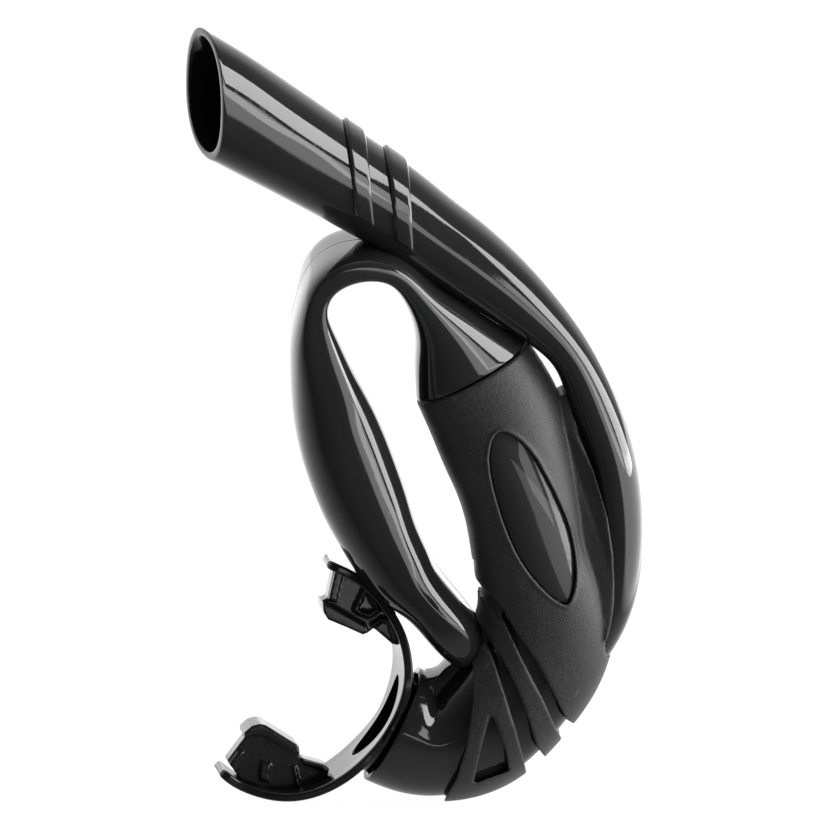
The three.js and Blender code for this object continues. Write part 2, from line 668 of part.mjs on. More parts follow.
addGroup("shell", [
  ["tube_shell_near", tubeShell(NEAR), "gloss"],
  ["tube_shell_far", tubeShell(FAR), "gloss"],
  ["loop_shell_near", loopShell(NEAR), "gloss"],
  ["loop_shell_far", loopShell(FAR), "gloss"],
  ["body_shell_near", bodyShell(NEAR), "gloss"],
  ["body_shell_far", bodyShell(FAR), "gloss"],
  ["grip_sleeve", gripSleeve(), "rubber"],
  ["grip_inlay_near", gripInlay(NEAR), "inlay"],
  ["grip_inlay_far", gripInlay(FAR), "inlay"],
  ["cone_coupler", coneCoupler(), "matte"],
  ["exhale_valve_seat", exhaleSeat(), "matte"],
  ["exhale_flap_clip", exhaleClip(), "matte"],
  ["inhale_valve_seat", inhaleSeat(), "matte"],
  ["neck_collar", neckCollar(), "matte"],
  ["neck_seal_ring", neckSeal(), "rubber"],
]);
addGroup("exhale_flap_group", [["exhale_flap", exhaleFlap(), "silicone"]]);
addGroup("inhale_flap_group", [["inhale_flap", inhaleFlap(), "silicone"]]);
addGroup("mouthpiece_group", [
  ["mouthpiece_spigot", mouthSpigot(), "matte"],
  ["mouthpiece", mouthpiece(), "silicone"],
  ["mouthpiece_clamp", mouthClamp(), "matte"],
]);

export default root;
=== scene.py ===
# Twin-passage mouthpiece snorkel: moulded shell halves, rubber grip sleeve and soft mouthpiece,
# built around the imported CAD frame.
# X runs to the right, Z up and Y away from the camera. The duct bends lie in the XZ plane, and
# the "near" half is the one on -Y. Shapes are modelled in millimetres in the design frame, then
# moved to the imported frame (metres) when they are finished.
import math
import bpy
import bmesh
import numpy as np
from mathutils import Vector, Matrix
from mathutils.bvhtree import BVHTree


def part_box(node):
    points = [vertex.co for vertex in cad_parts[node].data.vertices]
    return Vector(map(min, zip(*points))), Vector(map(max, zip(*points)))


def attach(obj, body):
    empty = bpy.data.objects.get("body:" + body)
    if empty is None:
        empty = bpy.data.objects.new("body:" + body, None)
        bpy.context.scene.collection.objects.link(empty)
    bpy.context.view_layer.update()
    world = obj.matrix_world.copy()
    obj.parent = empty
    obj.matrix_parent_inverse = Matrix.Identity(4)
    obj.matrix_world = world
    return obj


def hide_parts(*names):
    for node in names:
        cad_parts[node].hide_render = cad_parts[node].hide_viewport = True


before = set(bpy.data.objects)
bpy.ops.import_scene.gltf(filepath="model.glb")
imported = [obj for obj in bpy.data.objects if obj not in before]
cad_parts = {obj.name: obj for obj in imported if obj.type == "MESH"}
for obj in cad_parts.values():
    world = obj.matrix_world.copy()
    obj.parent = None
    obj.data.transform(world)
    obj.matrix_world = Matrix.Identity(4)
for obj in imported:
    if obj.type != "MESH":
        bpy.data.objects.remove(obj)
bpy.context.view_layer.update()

# ---------------------------------------------------------------- duct tables (mm, design frame)
# Stations along each duct. Columns: x, z, y, half size in the bend plane, half size across it,
# superellipse exponent, and (where it differs) the exponent on the right-hand side of travel.
TUBE = [
    [-72.4, 212.39, -21.06, 15.68, 12.64, 2.2], [-56.57, 202.3, -14.03, 14.99, 12.69, 2.2],
    [-41.35, 191.7, -8, 14.05, 14, 2.2], [-26.28, 181.11, -3, 13, 13.6, 2.2],
    [-7.84, 168.66, -0.2, 11.92, 13.2, 2.2], [3.46, 160.27, 0, 11, 12.8, 2.2],
    [13.47, 153.05, 0, 10.37, 12.6, 2.2], [28.11, 141.18, 0, 8.37, 12, 2.3],
    [41.14, 127.83, 0, 5.85, 11.6, 2.4], [47.6, 113.9, 0, 6.7, 11.6, 2.4],
    [53, 97.6, 0, 6.7, 12, 2.4], [54.9, 80.6, 0, 6.9, 12, 2.4],
    [53.9, 64.5, 0, 6.9, 12, 2.4], [51, 53.5, 0, 6.9, 11.6, 2.3],
    [46.6, 45, 0, 6.6, 11, 2.2], [43.2, 40.3, 0, 6.4, 10.6, 2.2],
]
LOOP = [
    [15.4, 43.2, 0, 5.8, 10.8, 2.4], [12.4, 46.4, 0, 7, 13.2, 2.6],
    [7.8, 52.8, 0, 7.3, 16, 3], [2.1, 59.5, 0, 7.2, 15.6, 2.4, 2.8],
    [-3.72, 65.31, 0, 10.01, 15.2, 2, 2.9], [-9.74, 76.24, 0, 10.86, 15.8, 2, 3],
    [-13.68, 85.58, 0, 12.15, 16, 2.05, 3], [-17.17, 94.98, 0, 12.29, 16, 2.1, 3],
    [-19.94, 103.21, 0, 12.19, 16, 2.1, 3], [-23.28, 114.17, 0, 10.73, 16, 2.2, 3.2],
    [-25.9, 124.29, 0, 8.65, 17.4, 2.5, 3.6], [-27.88, 134.72, 0, 6.58, 18.4, 3, 4.2],
    [-28.21, 142.45, 0, 3.9, 19.2, 3.6, 4.6], [-26, 149.4, 0, 4, 19.6, 4.2, 4.6],
    [-18.2, 154.2, 0, 4.4, 19.4, 4.4], [-6.6, 152.9, 0, 3.9, 18.2, 3.4],
    [1.2, 144.2, 0, 5, 16, 2.8], [8, 134.9, 0, 9.7, 15, 2.3],
    [11.8, 127.9, 0, 13.9, 14.3, 2.2], [14.9, 122.2, 0, 16.9, 14.2, 2.1],
]
BODY = [
    [16.5, 119.1, 0, 17.3, 14.6, 2.1], [21.4, 109.8, 0, 18.2, 16, 2.1],
    [24.6, 100.6, 0, 17.8, 17, 2.2], [27, 93.3, 0, 16.9, 17, 2.2],
    [29.5, 83.2, 0, 16.4, 17, 2.3], [31.6, 71.1, 0, 16.5, 17.2, 2.3],
    [34.6, 60.6, 0, 18.1, 17.5, 2.3], [35.3, 51.5, 0, 19.2, 17.8, 2.3],
    [32.2, 41.2, 0, 19.2, 18, 2.3], [27.8, 34.8, 0, 19.2, 18, 2.3],
    [22.4, 27.9, 0, 19, 18, 2.3], [16.5, 22.4, 0, 18.8, 18, 2.2],
    [9.5, 19.4, 0, 18.2, 17.6, 2.1], [3.4, 18.9, 0, 17.6, 17.2, 2],
    [-1.9, 20.5, 0, 17.2, 16.8, 2], [-6.7, 22.98, 0, 17, 16.5, 2],
]
# The sleeve follows the body's outer surface but starts a little higher up.
SLEEVE = [[15.2, 121.65, 0, 17.15, 14.5, 2.1]] + BODY[1:]
# How far the body shell is set in under the sleeve, at each BODY station.
BODY_INSET = [2.3] * 12 + [2.2, 1.2, 0.4, 0.0]
BODY_START = 0.66      # station number where the body shell begins
SLEEVE_END = 13.2      # station number where the sleeve ends
WALL = 1.8
SEAM_GAP = 0.05        # each half stands this far off the mid plane
SEAM_ROUND = 0.22
RIM_ROUND = 0.35
STEP_SCALE = 1.0


def unit(v):
    v = np.array(v, float)
    return v / np.linalg.norm(v)


# The neck carries the mouthpiece frame: x and y across the neck, z along it.
NECK = np.array([-7.0, 0, 23.15])
NECK_AXIS = unit([-0.881, 0, 0.473])
NECK_ACROSS = unit([0.473, 0, 0.881])
MOUTH_TURN = math.radians(8)
DEPTH_AXIS = np.array([0, 1, 0])
MOUTH_X = NECK_ACROSS * math.cos(MOUTH_TURN) + DEPTH_AXIS * math.sin(MOUTH_TURN)
MOUTH_Y = -NECK_ACROSS * math.sin(MOUTH_TURN) + DEPTH_AXIS * math.cos(MOUTH_TURN)

# The neck seal ring's centre is known in both frames and ties them together.
SEAL_CENTRE = NECK + NECK_AXIS * (-10.15)
ring_lo, ring_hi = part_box("neck_seal_ring")
OFFSET = (np.array(ring_lo) + np.array(ring_hi)) * 500.0 - SEAL_CENTRE

# Sight plane: the plane square to the viewing direction through TARGET (mm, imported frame).
AZIMUTH, ELEVATION = math.radians(-3), math.radians(15)
CAMERA_DISTANCE = 3000.0
FRAME_WIDTH = 223.6014     # width of the sight plane that the picture takes in
TARGET = np.array([-0.217, 4.468, 108.605])
BACK = np.array([math.sin(AZIMUTH) * math.cos(ELEVATION),
                 -math.cos(AZIMUTH) * math.cos(ELEVATION), math.sin(ELEVATION)])
CAMERA = TARGET + BACK * CAMERA_DISTANCE
RIGHT = np.array([math.cos(AZIMUTH), math.sin(AZIMUTH), 0.0])
UP = np.cross(RIGHT, -BACK)


def at_depth(outline, y):
    """Points of the design frame at depth y that lie behind sight-plane points (right, up)."""
    points = []
    origin = CAMERA - OFFSET
    for right, up in outline:
        ray = TARGET + RIGHT * right + UP * up - CAMERA
        points.append(origin + ray * ((y - origin[1]) / ray[1]))
    return np.array(points)


def to_mouth(points):
    """Mouthpiece frame (x, y, z) to the design frame."""
    p = np.asarray(points, float)
    return NECK + p[..., 0:1] * MOUTH_X + p[..., 1:2] * MOUTH_Y + p[..., 2:3] * NECK_AXIS


# ---------------------------------------------------------------- mesh tools
def new_object(name, verts, faces):
    mesh = bpy.data.meshes.new(name)
    mesh.from_pydata([tuple(map(float, v)) for v in verts], [],
                     [tuple(map(int, f)) for f in faces])
    bm = bmesh.new()
    bm.from_mesh(mesh)
    bmesh.ops.recalc_face_normals(bm, faces=bm.faces)
    bm.to_mesh(mesh)
    bm.free()
    obj = bpy.data.objects.new(name, mesh)
    bpy.context.scene.collection.objects.link(obj)
    return obj


def modify(obj, kind, **settings):
    """Adds a modifier and applies it at once."""
    modifier = obj.modifiers.new(kind.lower(), kind)
    for key, value in settings.items():
        setattr(modifier, key, value)
    graph = bpy.context.evaluated_depsgraph_get()
    mesh = bpy.data.meshes.new_from_object(obj.evaluated_get(graph), depsgraph=graph)
    obj.modifiers.clear()
    old = obj.data
    obj.data = mesh
    bpy.data.meshes.remove(old)


def boolean(obj, tool, operation="DIFFERENCE", drop=True):
    """Combines obj with tool; drop removes the tool afterwards."""
    before = obj.data.copy()
    # The exact solver takes over where the manifold one leaves next to nothing.
    for solver in ("MANIFOLD", "EXACT"):
        modify(obj, "BOOLEAN", operation=operation, solver=solver, object=tool)
        if len(obj.data.polygons) > 8:
            break
        obj.data = before.copy()
    if drop:
        bpy.data.objects.remove(tool)


def soften(obj, voxel, smoothing, keep):
    """Melts the parts of a shape together, then thins the mesh to the share kept."""
    modify(obj, "REMESH", mode="VOXEL", voxel_size=voxel, adaptivity=0.0)
    modify(obj, "SMOOTH", factor=0.5, iterations=smoothing)
    modify(obj, "DECIMATE", ratio=keep)


def get_coords(mesh):
    flat = np.empty(len(mesh.vertices) * 3, np.float32)
    mesh.vertices.foreach_get("co", flat)
    return flat.reshape(-1, 3)


def shade(mesh, material, sharp):
    mesh.materials.clear()
    mesh.materials.append(material)
    mesh.polygons.foreach_set("use_smooth", np.ones(len(mesh.polygons), bool))
    mesh.set_sharp_from_angle(angle=math.radians(sharp))


def finish(obj, material, sharp, stand_in, body="shell"):
    """Design millimetres to packed metres, shading, material, body and stand-in."""
    mesh = obj.data
    coords = (get_coords(mesh) + OFFSET) * 0.001
    mesh.vertices.foreach_set("co", coords.astype(np.float32).ravel())
    shade(mesh, material, sharp)
    mesh.update()
    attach(obj, body)
    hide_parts(stand_in)


def mirrored(obj):
    """A copy mirrored across the mid plane."""
    mesh = obj.data.copy()
    coords = get_coords(mesh)
    coords[:, 1] *= -1
    mesh.vertices.foreach_set("co", coords.ravel())
    bm = bmesh.new()
    bm.from_mesh(mesh)
    bmesh.ops.reverse_faces(bm, faces=bm.faces)
    bm.to_mesh(mesh)
    bm.free()
    copy = bpy.data.objects.new(obj.name + "_m", mesh)
    bpy.context.scene.collection.objects.link(copy)
    return copy


def grid_faces(rows, cols, wrap_rows=False, wrap_cols=False):
    return [(i * cols + j, i * cols + (j + 1) % cols,
             (i + 1) % rows * cols + (j + 1) % cols, (i + 1) % rows * cols + j)
            for i in range(rows if wrap_rows else rows - 1)
            for j in range(cols if wrap_cols else cols - 1)]


def ring_prism(first, second, name="tool"):
    """A closed solid between two rings of points."""
    n = len(first)
    faces = grid_faces(2, n, wrap_cols=True)
    faces += [tuple(range(n)), tuple(range(2 * n - 1, n - 1, -1))]
    return new_object(name, np.concatenate([first, second]), faces)


def prism_xz(outline, y0, y1):
    return ring_prism(*(np.array([[x, y, z] for x, z in outline]) for y in (y0, y1)))


def prism_sight(outline, y0, y1):
    return ring_prism(at_depth(outline, y0), at_depth(outline, y1))


def box_outline(x0, x1, z0, z1):
    return [(x0, z0), (x1, z0), (x1, z1), (x0, z1)]


def bead(path, radius, ring):
    """A round bead along a closed path."""
    travel = unit_rows(np.roll(path, -1, 0) - np.roll(path, 1, 0))
    verts = []
    for centre, direction in zip(path, travel):
        x = np.cross(direction, np.array([0, 1.0, 0]))
        x /= np.linalg.norm(x)
        y = np.cross(x, direction)
        for k in range(ring):
            angle = 2 * math.pi * k / ring
            verts.append(centre + radius * (x * math.cos(angle) + y * math.sin(angle)))
    return new_object("tool", verts, grid_faces(len(path), ring, True, True))


# ---------------------------------------------------------------- curves
def unit_rows(rows):
    return rows / np.linalg.norm(rows, axis=1)[:, None]


def arc_lengths(points):
    return np.concatenate([[0], np.cumsum(np.linalg.norm(np.diff(points, axis=0), axis=1))])


def interp_columns(s, stations, rows):
    return np.stack([np.interp(s, stations, rows[:, i]) for i in range(rows.shape[1])], -1)


def curve_span(p0, p1, p2, p3, w, centripetal=True):
    """Catmull-Rom point at share w between p1 and p2."""
    if centripetal:
        d0, d1, d2 = (max(1e-4, np.linalg.norm(b - a)) ** 0.5
                      for a, b in ((p0, p1), (p1, p2), (p2, p3)))
        t1 = ((p1 - p0) / d0 - (p2 - p0) / (d0 + d1) + (p2 - p1) / d1) * d1
        t2 = ((p2 - p1) / d1 - (p3 - p1) / (d1 + d2) + (p3 - p2) / d2) * d1
    else:
        t1, t2 = 0.5 * (p2 - p0), 0.5 * (p3 - p1)
    return (p1 + t1 * w + (-3 * p1 + 3 * p2 - 2 * t1 - t2) * w * w
            + (2 * p1 - 2 * p2 + t1 + t2) * w ** 3)


def curve_point(points, q, centripetal=True):
    """Point of an open curve at station number q."""
    last = len(points) - 1
    i = int(math.floor(q))
    w = q - i
    if i >= last:
        i, w = last - 1, 1.0
    p1, p2 = points[i], points[i + 1]
    p0 = points[i - 1] if i > 0 else 2 * points[0] - points[1]
    p3 = points[i + 2] if i + 2 <= last else 2 * points[last] - points[last - 1]
    return curve_span(p0, p1, p2, p3, w, centripetal)


def round_outline(points, per_span):
    """A closed outline drawn smoothly through its points."""
    p = [np.array(point, float) for point in points]
    n = len(p)
    return [tuple(curve_span(p[i - 1], p[i], p[(i + 1) % n], p[(i + 2) % n], k / per_span))
            for i in range(n) for k in range(per_span)]


def smooth_rows(rows, sigma):
    """Gaussian smoothing down each column; the ends stay put."""
    reach = int(sigma * 3)
    kernel = np.exp(-0.5 * (np.arange(-reach, reach + 1) / sigma) ** 2)
    kernel /= kernel.sum()
    out = np.empty_like(rows)
    for c in range(rows.shape[1]):
        x = rows[:, c]
        padded = np.concatenate([2 * x[0] - x[reach:0:-1], x, 2 * x[-1] - x[-2:-reach - 2:-1]])
        out[:, c] = np.convolve(padded, kernel, "valid")
    return out


def rounding(distance, radius):
    """Quarter-round rise from 0 at an edge to 1 at the given radius."""
    return np.sqrt(np.clip(1 - (1 - np.clip(distance / radius, 0, 1)) ** 2, 0, 1))


def grow(outline, by):
    """Offsets a closed outline outwards."""
    p = np.array(outline)
    n = len(p)
    area = sum(p[i][0] * p[(i + 1) % n][1] - p[(i + 1) % n][0] * p[i][1] for i in range(n))
    d = unit_rows(np.roll(p, -1, 0) - np.roll(p, 1, 0))
    normals = np.stack([d[:, 1], -d[:, 0]], 1) * (1 if area > 0 else -1)
    return p + normals * by


# ---------------------------------------------------------------- ducts
class Duct:
    """A superellipse section swept along a smoothed path.

    Stations s are lengths along the path. Section angles run from 0, on the left of travel as
    seen from -Y, to pi on its right.
    """
    SPACING = 0.25
    ANGLE_SPACING = 1.5      # stations between section angle rows
    SOLVE_REACH = 118.0      # farthest station looked at for a plane cut

    def __init__(self, table, inset=None):
        points = [np.array([r[0], r[2], r[1]], float) for r in table]
        sizes = [np.array([r[3], r[4], r[5], r[-1]], float) for r in table]
        numbers = np.arange(0, len(table) - 1 + 1e-9, 0.02)
        path = np.array([curve_point(points, q) for q in numbers])
        section = np.array([curve_point(sizes, q, centripetal=False) for q in numbers])
        lengths = arc_lengths(path)
        s = np.arange(0, lengths[-1], self.SPACING)
        self.s, self.length = s, s[-1]
        self.path = smooth_rows(interp_columns(s, lengths, path), 3.0 / self.SPACING)
        self.section = smooth_rows(interp_columns(s, lengths, section), 4.0 / self.SPACING)
        self.numbers = np.interp(s, lengths, numbers)
        self.inset = np.zeros(len(s))
        if inset is not None:
            column = np.interp(self.numbers, np.arange(len(inset)), inset)[:, None]
            self.inset = smooth_rows(column, 2.0 / self.SPACING)[:, 0]
        self.travel = unit_rows(np.gradient(self.path, axis=0))
        self.left = unit_rows(np.stack(
            [-self.travel[:, 2], np.zeros(len(s)), self.travel[:, 0]], 1))
        self.across = unit_rows(np.cross(self.left, self.travel))
        # On the inside of a bend the section stays short of the centre of curvature, so the
        # sweep never folds.
        bend = -(np.gradient(self.travel, self.SPACING, axis=0) * self.left).sum(1)
        excess = np.maximum(0.0, self.section[:, 0] - 0.86 / np.maximum(bend, 1e-4))
        self.relief = smooth_rows(excess[:, None], 3.0 / self.SPACING)[:, 0].clip(0)
        self.angle_rows = {}

    def at(self, rows, s):
        s = np.clip(s, 0, self.length)
        if rows.ndim == 1:
            return np.interp(s, self.s, rows)
        return interp_columns(s, self.s, rows)

    def station(self, number):
        return float(np.interp(number, self.numbers, self.s))

    @staticmethod
    def quarter(a, c, exponent, count):
        """Angles of a quarter section, spread by length and by turning."""
        t = (math.pi / 2) * (0.5 - 0.5 * np.cos(math.pi * np.linspace(0, 1, 500)))
        x = a * np.power(np.cos(t).clip(0), 2 / exponent)
        y = c * np.power(np.sin(t).clip(0), 2 / exponent)
        dx, dy = np.diff(x), np.diff(y)
        length = np.hypot(dx, dy)
        heading = np.unwrap(np.arctan2(dy, dx))
        turn = np.abs(np.diff(heading, prepend=heading[0]))
        weight = length / length.sum() + 0.6 * turn / max(turn.sum(), 1e-9)
        share = np.concatenate([[0], np.cumsum(weight)])
        share /= share[-1]
        return np.interp(np.linspace(0, 1, count + 1), share, t)

    def angles(self, S, count):
        """Section angles from 0 to pi, 2 * count + 1 columns, at the stations S."""
        stations = np.arange(0, self.length + 1.0, self.ANGLE_SPACING)
        if count not in self.angle_rows:
            rows = []
            for s in stations:
                a, c, left_exp, right_exp = self.at(self.section, s)
                k = self.at(self.inset, s)
                a, c = max(a - k, 0.5), max(c - k, 0.5)
                left = self.quarter(a, c, left_exp, count)
                right = self.quarter(a, c, right_exp, count)
                rows.append(np.concatenate([left, math.pi - right[-2::-1]]))
            self.angle_rows[count] = np.array(rows)
        rows = self.angle_rows[count]
        out = np.empty(S.shape)
        for j in range(S.shape[1]):
            out[:, j] = np.interp(S[:, j], stations, rows[:, j])
        return out

    def point(self, S, T, inset=0.0, side=1.0, gap=0.0):
        """Surface points; side and gap apply when every angle is within 0..pi."""
        section = self.at(self.section, S)
        inset = inset + self.at(self.inset, S)
        cos, sin = np.cos(T), np.sin(T)
        a, c = section[..., 0] - inset, section[..., 1] - inset
        exponent = np.where(cos > 0, section[..., 2], section[..., 3])
        a = np.where(cos > 0, a, np.maximum(a - self.at(self.relief, S), 0.5))
        u = a * np.sign(cos) * np.power(np.abs(cos), 2 / exponent)
        w = np.sign(sin) * np.power(np.abs(sin), 2 / exponent)
        w = side * (gap + (c - gap) * w) if np.all(sin >= -1e-9) else c * w
        return (self.at(self.path, S) + self.at(self.left, S) * u[..., None]
                + self.at(self.across, S) * w[..., None])

    def solve(self, T, inset, side, plane, offset):
        """Station at each angle where the surface lies `offset` inside the cut plane."""
        origin, normal = plane
        lo, hi = np.zeros(len(T)), np.full(len(T), self.SOLVE_REACH)
        for _ in range(44):
            s = (lo + hi) / 2
            p = self.point(s[None, :], T[None, :], inset, side, SEAM_GAP)[0]
            outside = (p - origin) @ normal + offset > 0
            lo = np.where(outside, s, lo)
            hi = np.where(outside, hi, s)
        return s


def half_shell(name, duct, side, first, last, count, step, plane=None):
    """One moulded half: a C section swept along the duct, with eased rims and seam edges."""
    n = max(4, int(round((last - first) / step)))
    shares = np.linspace(0, 1, n + 1)
    cols = 2 * count + 1
    base = duct.angles(np.full((1, cols), first), count)[0]
    # (inset, distance from the end) of the points round each rim, between the two skins
    start_rim = [(WALL - 0.10, 0.10), (WALL - 0.32, 0.0), (RIM_ROUND, 0.0), (0.10, 0.10)]
    end_rim = [(0.10, 0.10), (0.35, 0.0), (WALL - 0.3, 0.0)]

    def start(inset, offset):
        if plane is None:
            return np.full(cols, first + offset)
        return duct.solve(base, inset, side, plane, offset)

    inner_start, outer_start = start(WALL, 0.30), start(0.0, RIM_ROUND)
    profile = [(WALL, inner_start + (last - 0.3 - inner_start) * x) for x in shares[::-1]]
    profile += [(inset, start(inset, offset)) for inset, offset in start_rim]
    profile += [(0.0, outer_start + (last - 0.35 - outer_start) * x) for x in shares]
    profile += [(inset, np.full(cols, last - offset)) for inset, offset in end_rim]
    insets = np.array([inset for inset, _ in profile])
    stations = np.array([s for _, s in profile])
    angles = duct.angles(stations, count)

    # The first and last columns are repeated to round the seam edges.
    columns = [0, 0, 0] + list(range(1, cols - 1)) + [cols - 1] * 3
    gap, r = SEAM_GAP, SEAM_ROUND
    shrink = np.array([r, 0.3 * r, 0.0] + [0.0] * (cols - 2) + [0.0, 0.3 * r, r])
    gaps = np.array([gap, gap + 0.3 * r, gap + r] + [gap] * (cols - 2)
                    + [gap + r, gap + 0.3 * r, gap])
    depths = np.clip(insets[:, None], shrink[None, :], WALL - shrink[None, :])
    verts = duct.point(stations[:, columns], angles[:, columns], depths, side, gaps[None, :])
    rows, cols = verts.shape[:2]
    faces = grid_faces(rows, cols, wrap_rows=True)
    outer_row = n + 1 + len(start_rim)
    for col in (0, cols - 1):
        for k in range(n):
            faces.append(tuple(i * cols + col for i in
                               (n - k, n - k - 1, outer_row + k + 1, outer_row + k)))
        faces.append(tuple(i * cols + col for i in range(n, outer_row + 1)))
        faces.append(tuple(i * cols + col for i in list(range(outer_row + n, rows)) + [0]))
    return new_object(name, verts.reshape(-1, 3), faces)


def solid(duct, first, last, inset=0.0, count=24, step=1.5, lead=0.0, name="tool"):
    """The duct's whole section as a closed solid; lead stretches both ends."""
    n = max(3, int(round((last - first) / step)))
    S = np.linspace(first, last, n + 1)[:, None]
    T = duct.angles(np.repeat(S, 2 * count + 1, 1), count)
    T = np.concatenate([T, T[:, -2:0:-1] + 2 * (math.pi - T[:, -2:0:-1])], 1)
    rows, cols = T.shape
    verts = duct.point(np.repeat(S, cols, 1), T, inset)
    if lead:
        verts[0] -= duct.at(duct.travel, first) * lead
        verts[-1] += duct.at(duct.travel, last) * lead
    verts = verts.reshape(-1, 3)
    verts = np.concatenate([verts, [verts[:cols].mean(0)], [verts[-cols:].mean(0)]])
    start, end = len(verts) - 2, len(verts) - 1
    top = (rows - 1) * cols
    faces = grid_faces(rows, cols, wrap_cols=True)
    faces += [(start, (j + 1) % cols, j) for j in range(cols)]
    faces += [(end, top + j, top + (j + 1) % cols) for j in range(cols)]
    return new_object(name, verts, faces)


# ---------------------------------------------------------------- materials
def new_tree(owner):
    owner.use_nodes = True
    owner.node_tree.nodes.clear()
    return owner.node_tree


def add_node(tree, kind, inputs, **settings):
    """A shader node; each input is linked to a socket or set to a value."""
    node = tree.nodes.new("ShaderNode" + kind)
    for key, value in settings.items():
        setattr(node, key, value)
    for key, value in inputs.items():
        if isinstance(value, bpy.types.NodeSocket):
            tree.links.new(value, node.inputs[key])
        else:
            node.inputs[key].default_value = value
    return node


def grey(value, red=1.0):
    """A grey whose red part is scaled."""
    return (value * red, value, value, 1)


def noise(tree, vector, scale, detail, rough=0.5):
    return add_node(tree, "TexNoise", {"Vector": vector, "Scale": scale, "Detail": detail,
                                       "Roughness": rough}).outputs[0]


def ramp(tree, factor, *stops):
    """Colour ramp through (position, colour) stops; a bare number is a grey."""
    stops = [(p, c if isinstance(c, tuple) else grey(c)) for p, c in stops]
    node = add_node(tree, "ValToRGB", {0: factor})
    elements = node.color_ramp.elements
    elements[0].position, elements[0].color = stops[0]
    elements[1].position, elements[1].color = stops[-1]
    for position, colour in stops[1:-1]:
        elements.new(position).color = colour
    return node.outputs[0]


def math_node(tree, operation, *values):
    return add_node(tree, "Math", dict(enumerate(values)), operation=operation).outputs[0]


def mix_colour(tree, factor, first, second, blend="MIX"):
    return add_node(tree, "Mix", {0: factor, 6: first, 7: second},
                    data_type="RGBA", blend_type=blend).outputs[2]


def map_range(tree, value, from_min, from_max, to_min, to_max):
    limits = {0: value, 1: from_min, 2: from_max, 3: to_min, 4: to_max}
    return add_node(tree, "MapRange", limits).outputs[0]


def object_coords(tree):
    return add_node(tree, "TexCoord", {}).outputs["Object"]


def pointiness(tree):
    return add_node(tree, "NewGeometry", {}).outputs["Pointiness"]


def surface(tree, height, bump, distance, inputs):
    """Principled surface with a bump map, joined to the material output."""
    normal = add_node(tree, "Bump", {"Strength": bump, "Distance": distance, "Height": height})
    shader = add_node(tree, "BsdfPrincipled", {**inputs, "Normal": normal.outputs[0]})
    add_node(tree, "OutputMaterial", {0: shader.outputs[0]})


def plastic(name, dark, light, rough, rough_var, bump, edge, grain=1400.0, scratches=True,
            ior=1.5):
    """Moulded plastic: blotchy grey, worn edges, uneven gloss and fine grain."""
    material = bpy.data.materials.new(name)
    tree = new_tree(material)
    v = object_coords(tree)
    colour = ramp(tree, noise(tree, v, scale=22, detail=2),
                  (0.35, grey(dark, 0.98)), (0.65, light))
    edges = ramp(tree, pointiness(tree), (0.50, 0), (0.62, 1))
    patches = ramp(tree, noise(tree, v, scale=260, detail=4, rough=0.6), (0.45, 0), (0.7, 1))
    wear = math_node(tree, "MULTIPLY", edges, patches)
    gloss = ramp(tree, noise(tree, v, scale=70, detail=5, rough=0.65),
                 (0.3, rough - rough_var), (0.72, rough + rough_var))
    if scratches:
        waves = add_node(tree, "TexWave", {"Vector": v, "Scale": 55, "Distortion": 14,
                                           "Detail": 4, "Detail Scale": 2.2})
        lines = ramp(tree, waves.outputs["Fac"], (0.985, 0), (1.0, 0.10))
        gloss = math_node(tree, "ADD", gloss, lines)
    waviness = noise(tree, v, scale=48, detail=2)
    height = math_node(tree, "MULTIPLY_ADD", waviness, 1.6, noise(tree, v, grain, detail=2))
    surface(tree, height, bump, 0.00006, {
        "Base Color": mix_colour(tree, wear, colour, grey(edge)), "Roughness": gloss,
        "IOR": ior})
    return material


def rubber(name, dark, light, rough, stipple, cell=1900.0):
    """Stippled rubber: speckled grey, paler edges and a cellular bump."""
    material = bpy.data.materials.new(name)
    tree = new_tree(material)
    v = object_coords(tree)
    fine = noise(tree, v, scale=1500, detail=2, rough=0.7)
    cells = add_node(tree, "TexVoronoi", {"Vector": v, "Scale": cell}).outputs["Distance"]
    blotches = ramp(tree, noise(tree, v, scale=30, detail=3), (0.3, dark),
                    (0.7, grey(light, 1.01)))
    speckle = ramp(tree, fine, (0.35, 0.62), (0.66, 1.45))
    colour = mix_colour(tree, 1.0, blotches, speckle, "MULTIPLY")
    edges = ramp(tree, pointiness(tree), (0.51, 0), (0.60, 0.7))
    surface(tree, math_node(tree, "ADD", cells, fine), stipple, 0.00012, {
        "Base Color": mix_colour(tree, edges, colour, grey(light * 1.9)),
        "Roughness": ramp(tree, fine, (0.3, rough - 0.08), (0.7, rough + 0.08)),
        "IOR": 1.40, "Sheen Weight": 0.12, "Sheen Roughness": 0.5})
    return material


GLOSS = plastic("gloss_black_plastic", dark=0.0105, light=0.0150, rough=0.055,
                rough_var=0.025, bump=0.06, edge=0.012)
INLAY = plastic("polished_black_inlay", dark=0.0200, light=0.0260, rough=0.03,
                rough_var=0.015, bump=0.03, edge=0.012, ior=1.30)
SILICONE = plastic("black_silicone", dark=0.0080, light=0.0120, rough=0.14, rough_var=0.04,
                   bump=0.12, grain=900.0, edge=0.02, ior=1.43)
MATTE = plastic("valve_plastic_matte", dark=0.014, light=0.024, rough=0.42, rough_var=0.08,
                bump=0.35, grain=2200.0, edge=0.05, scratches=False)
RUBBER = rubber("stippled_grip_rubber", dark=0.013, light=0.021, rough=0.50, stipple=0.42,
                cell=2600.0)
SEAL = rubber("seal_rubber", dark=0.012, light=0.02, rough=0.6, stipple=0.2)
FLAP = plastic("flap_silicone_soft", dark=0.016, light=0.026, rough=0.30, rough_var=0.06,
               bump=0.15, grain=700.0, edge=0.04, scratches=False, ior=1.41)

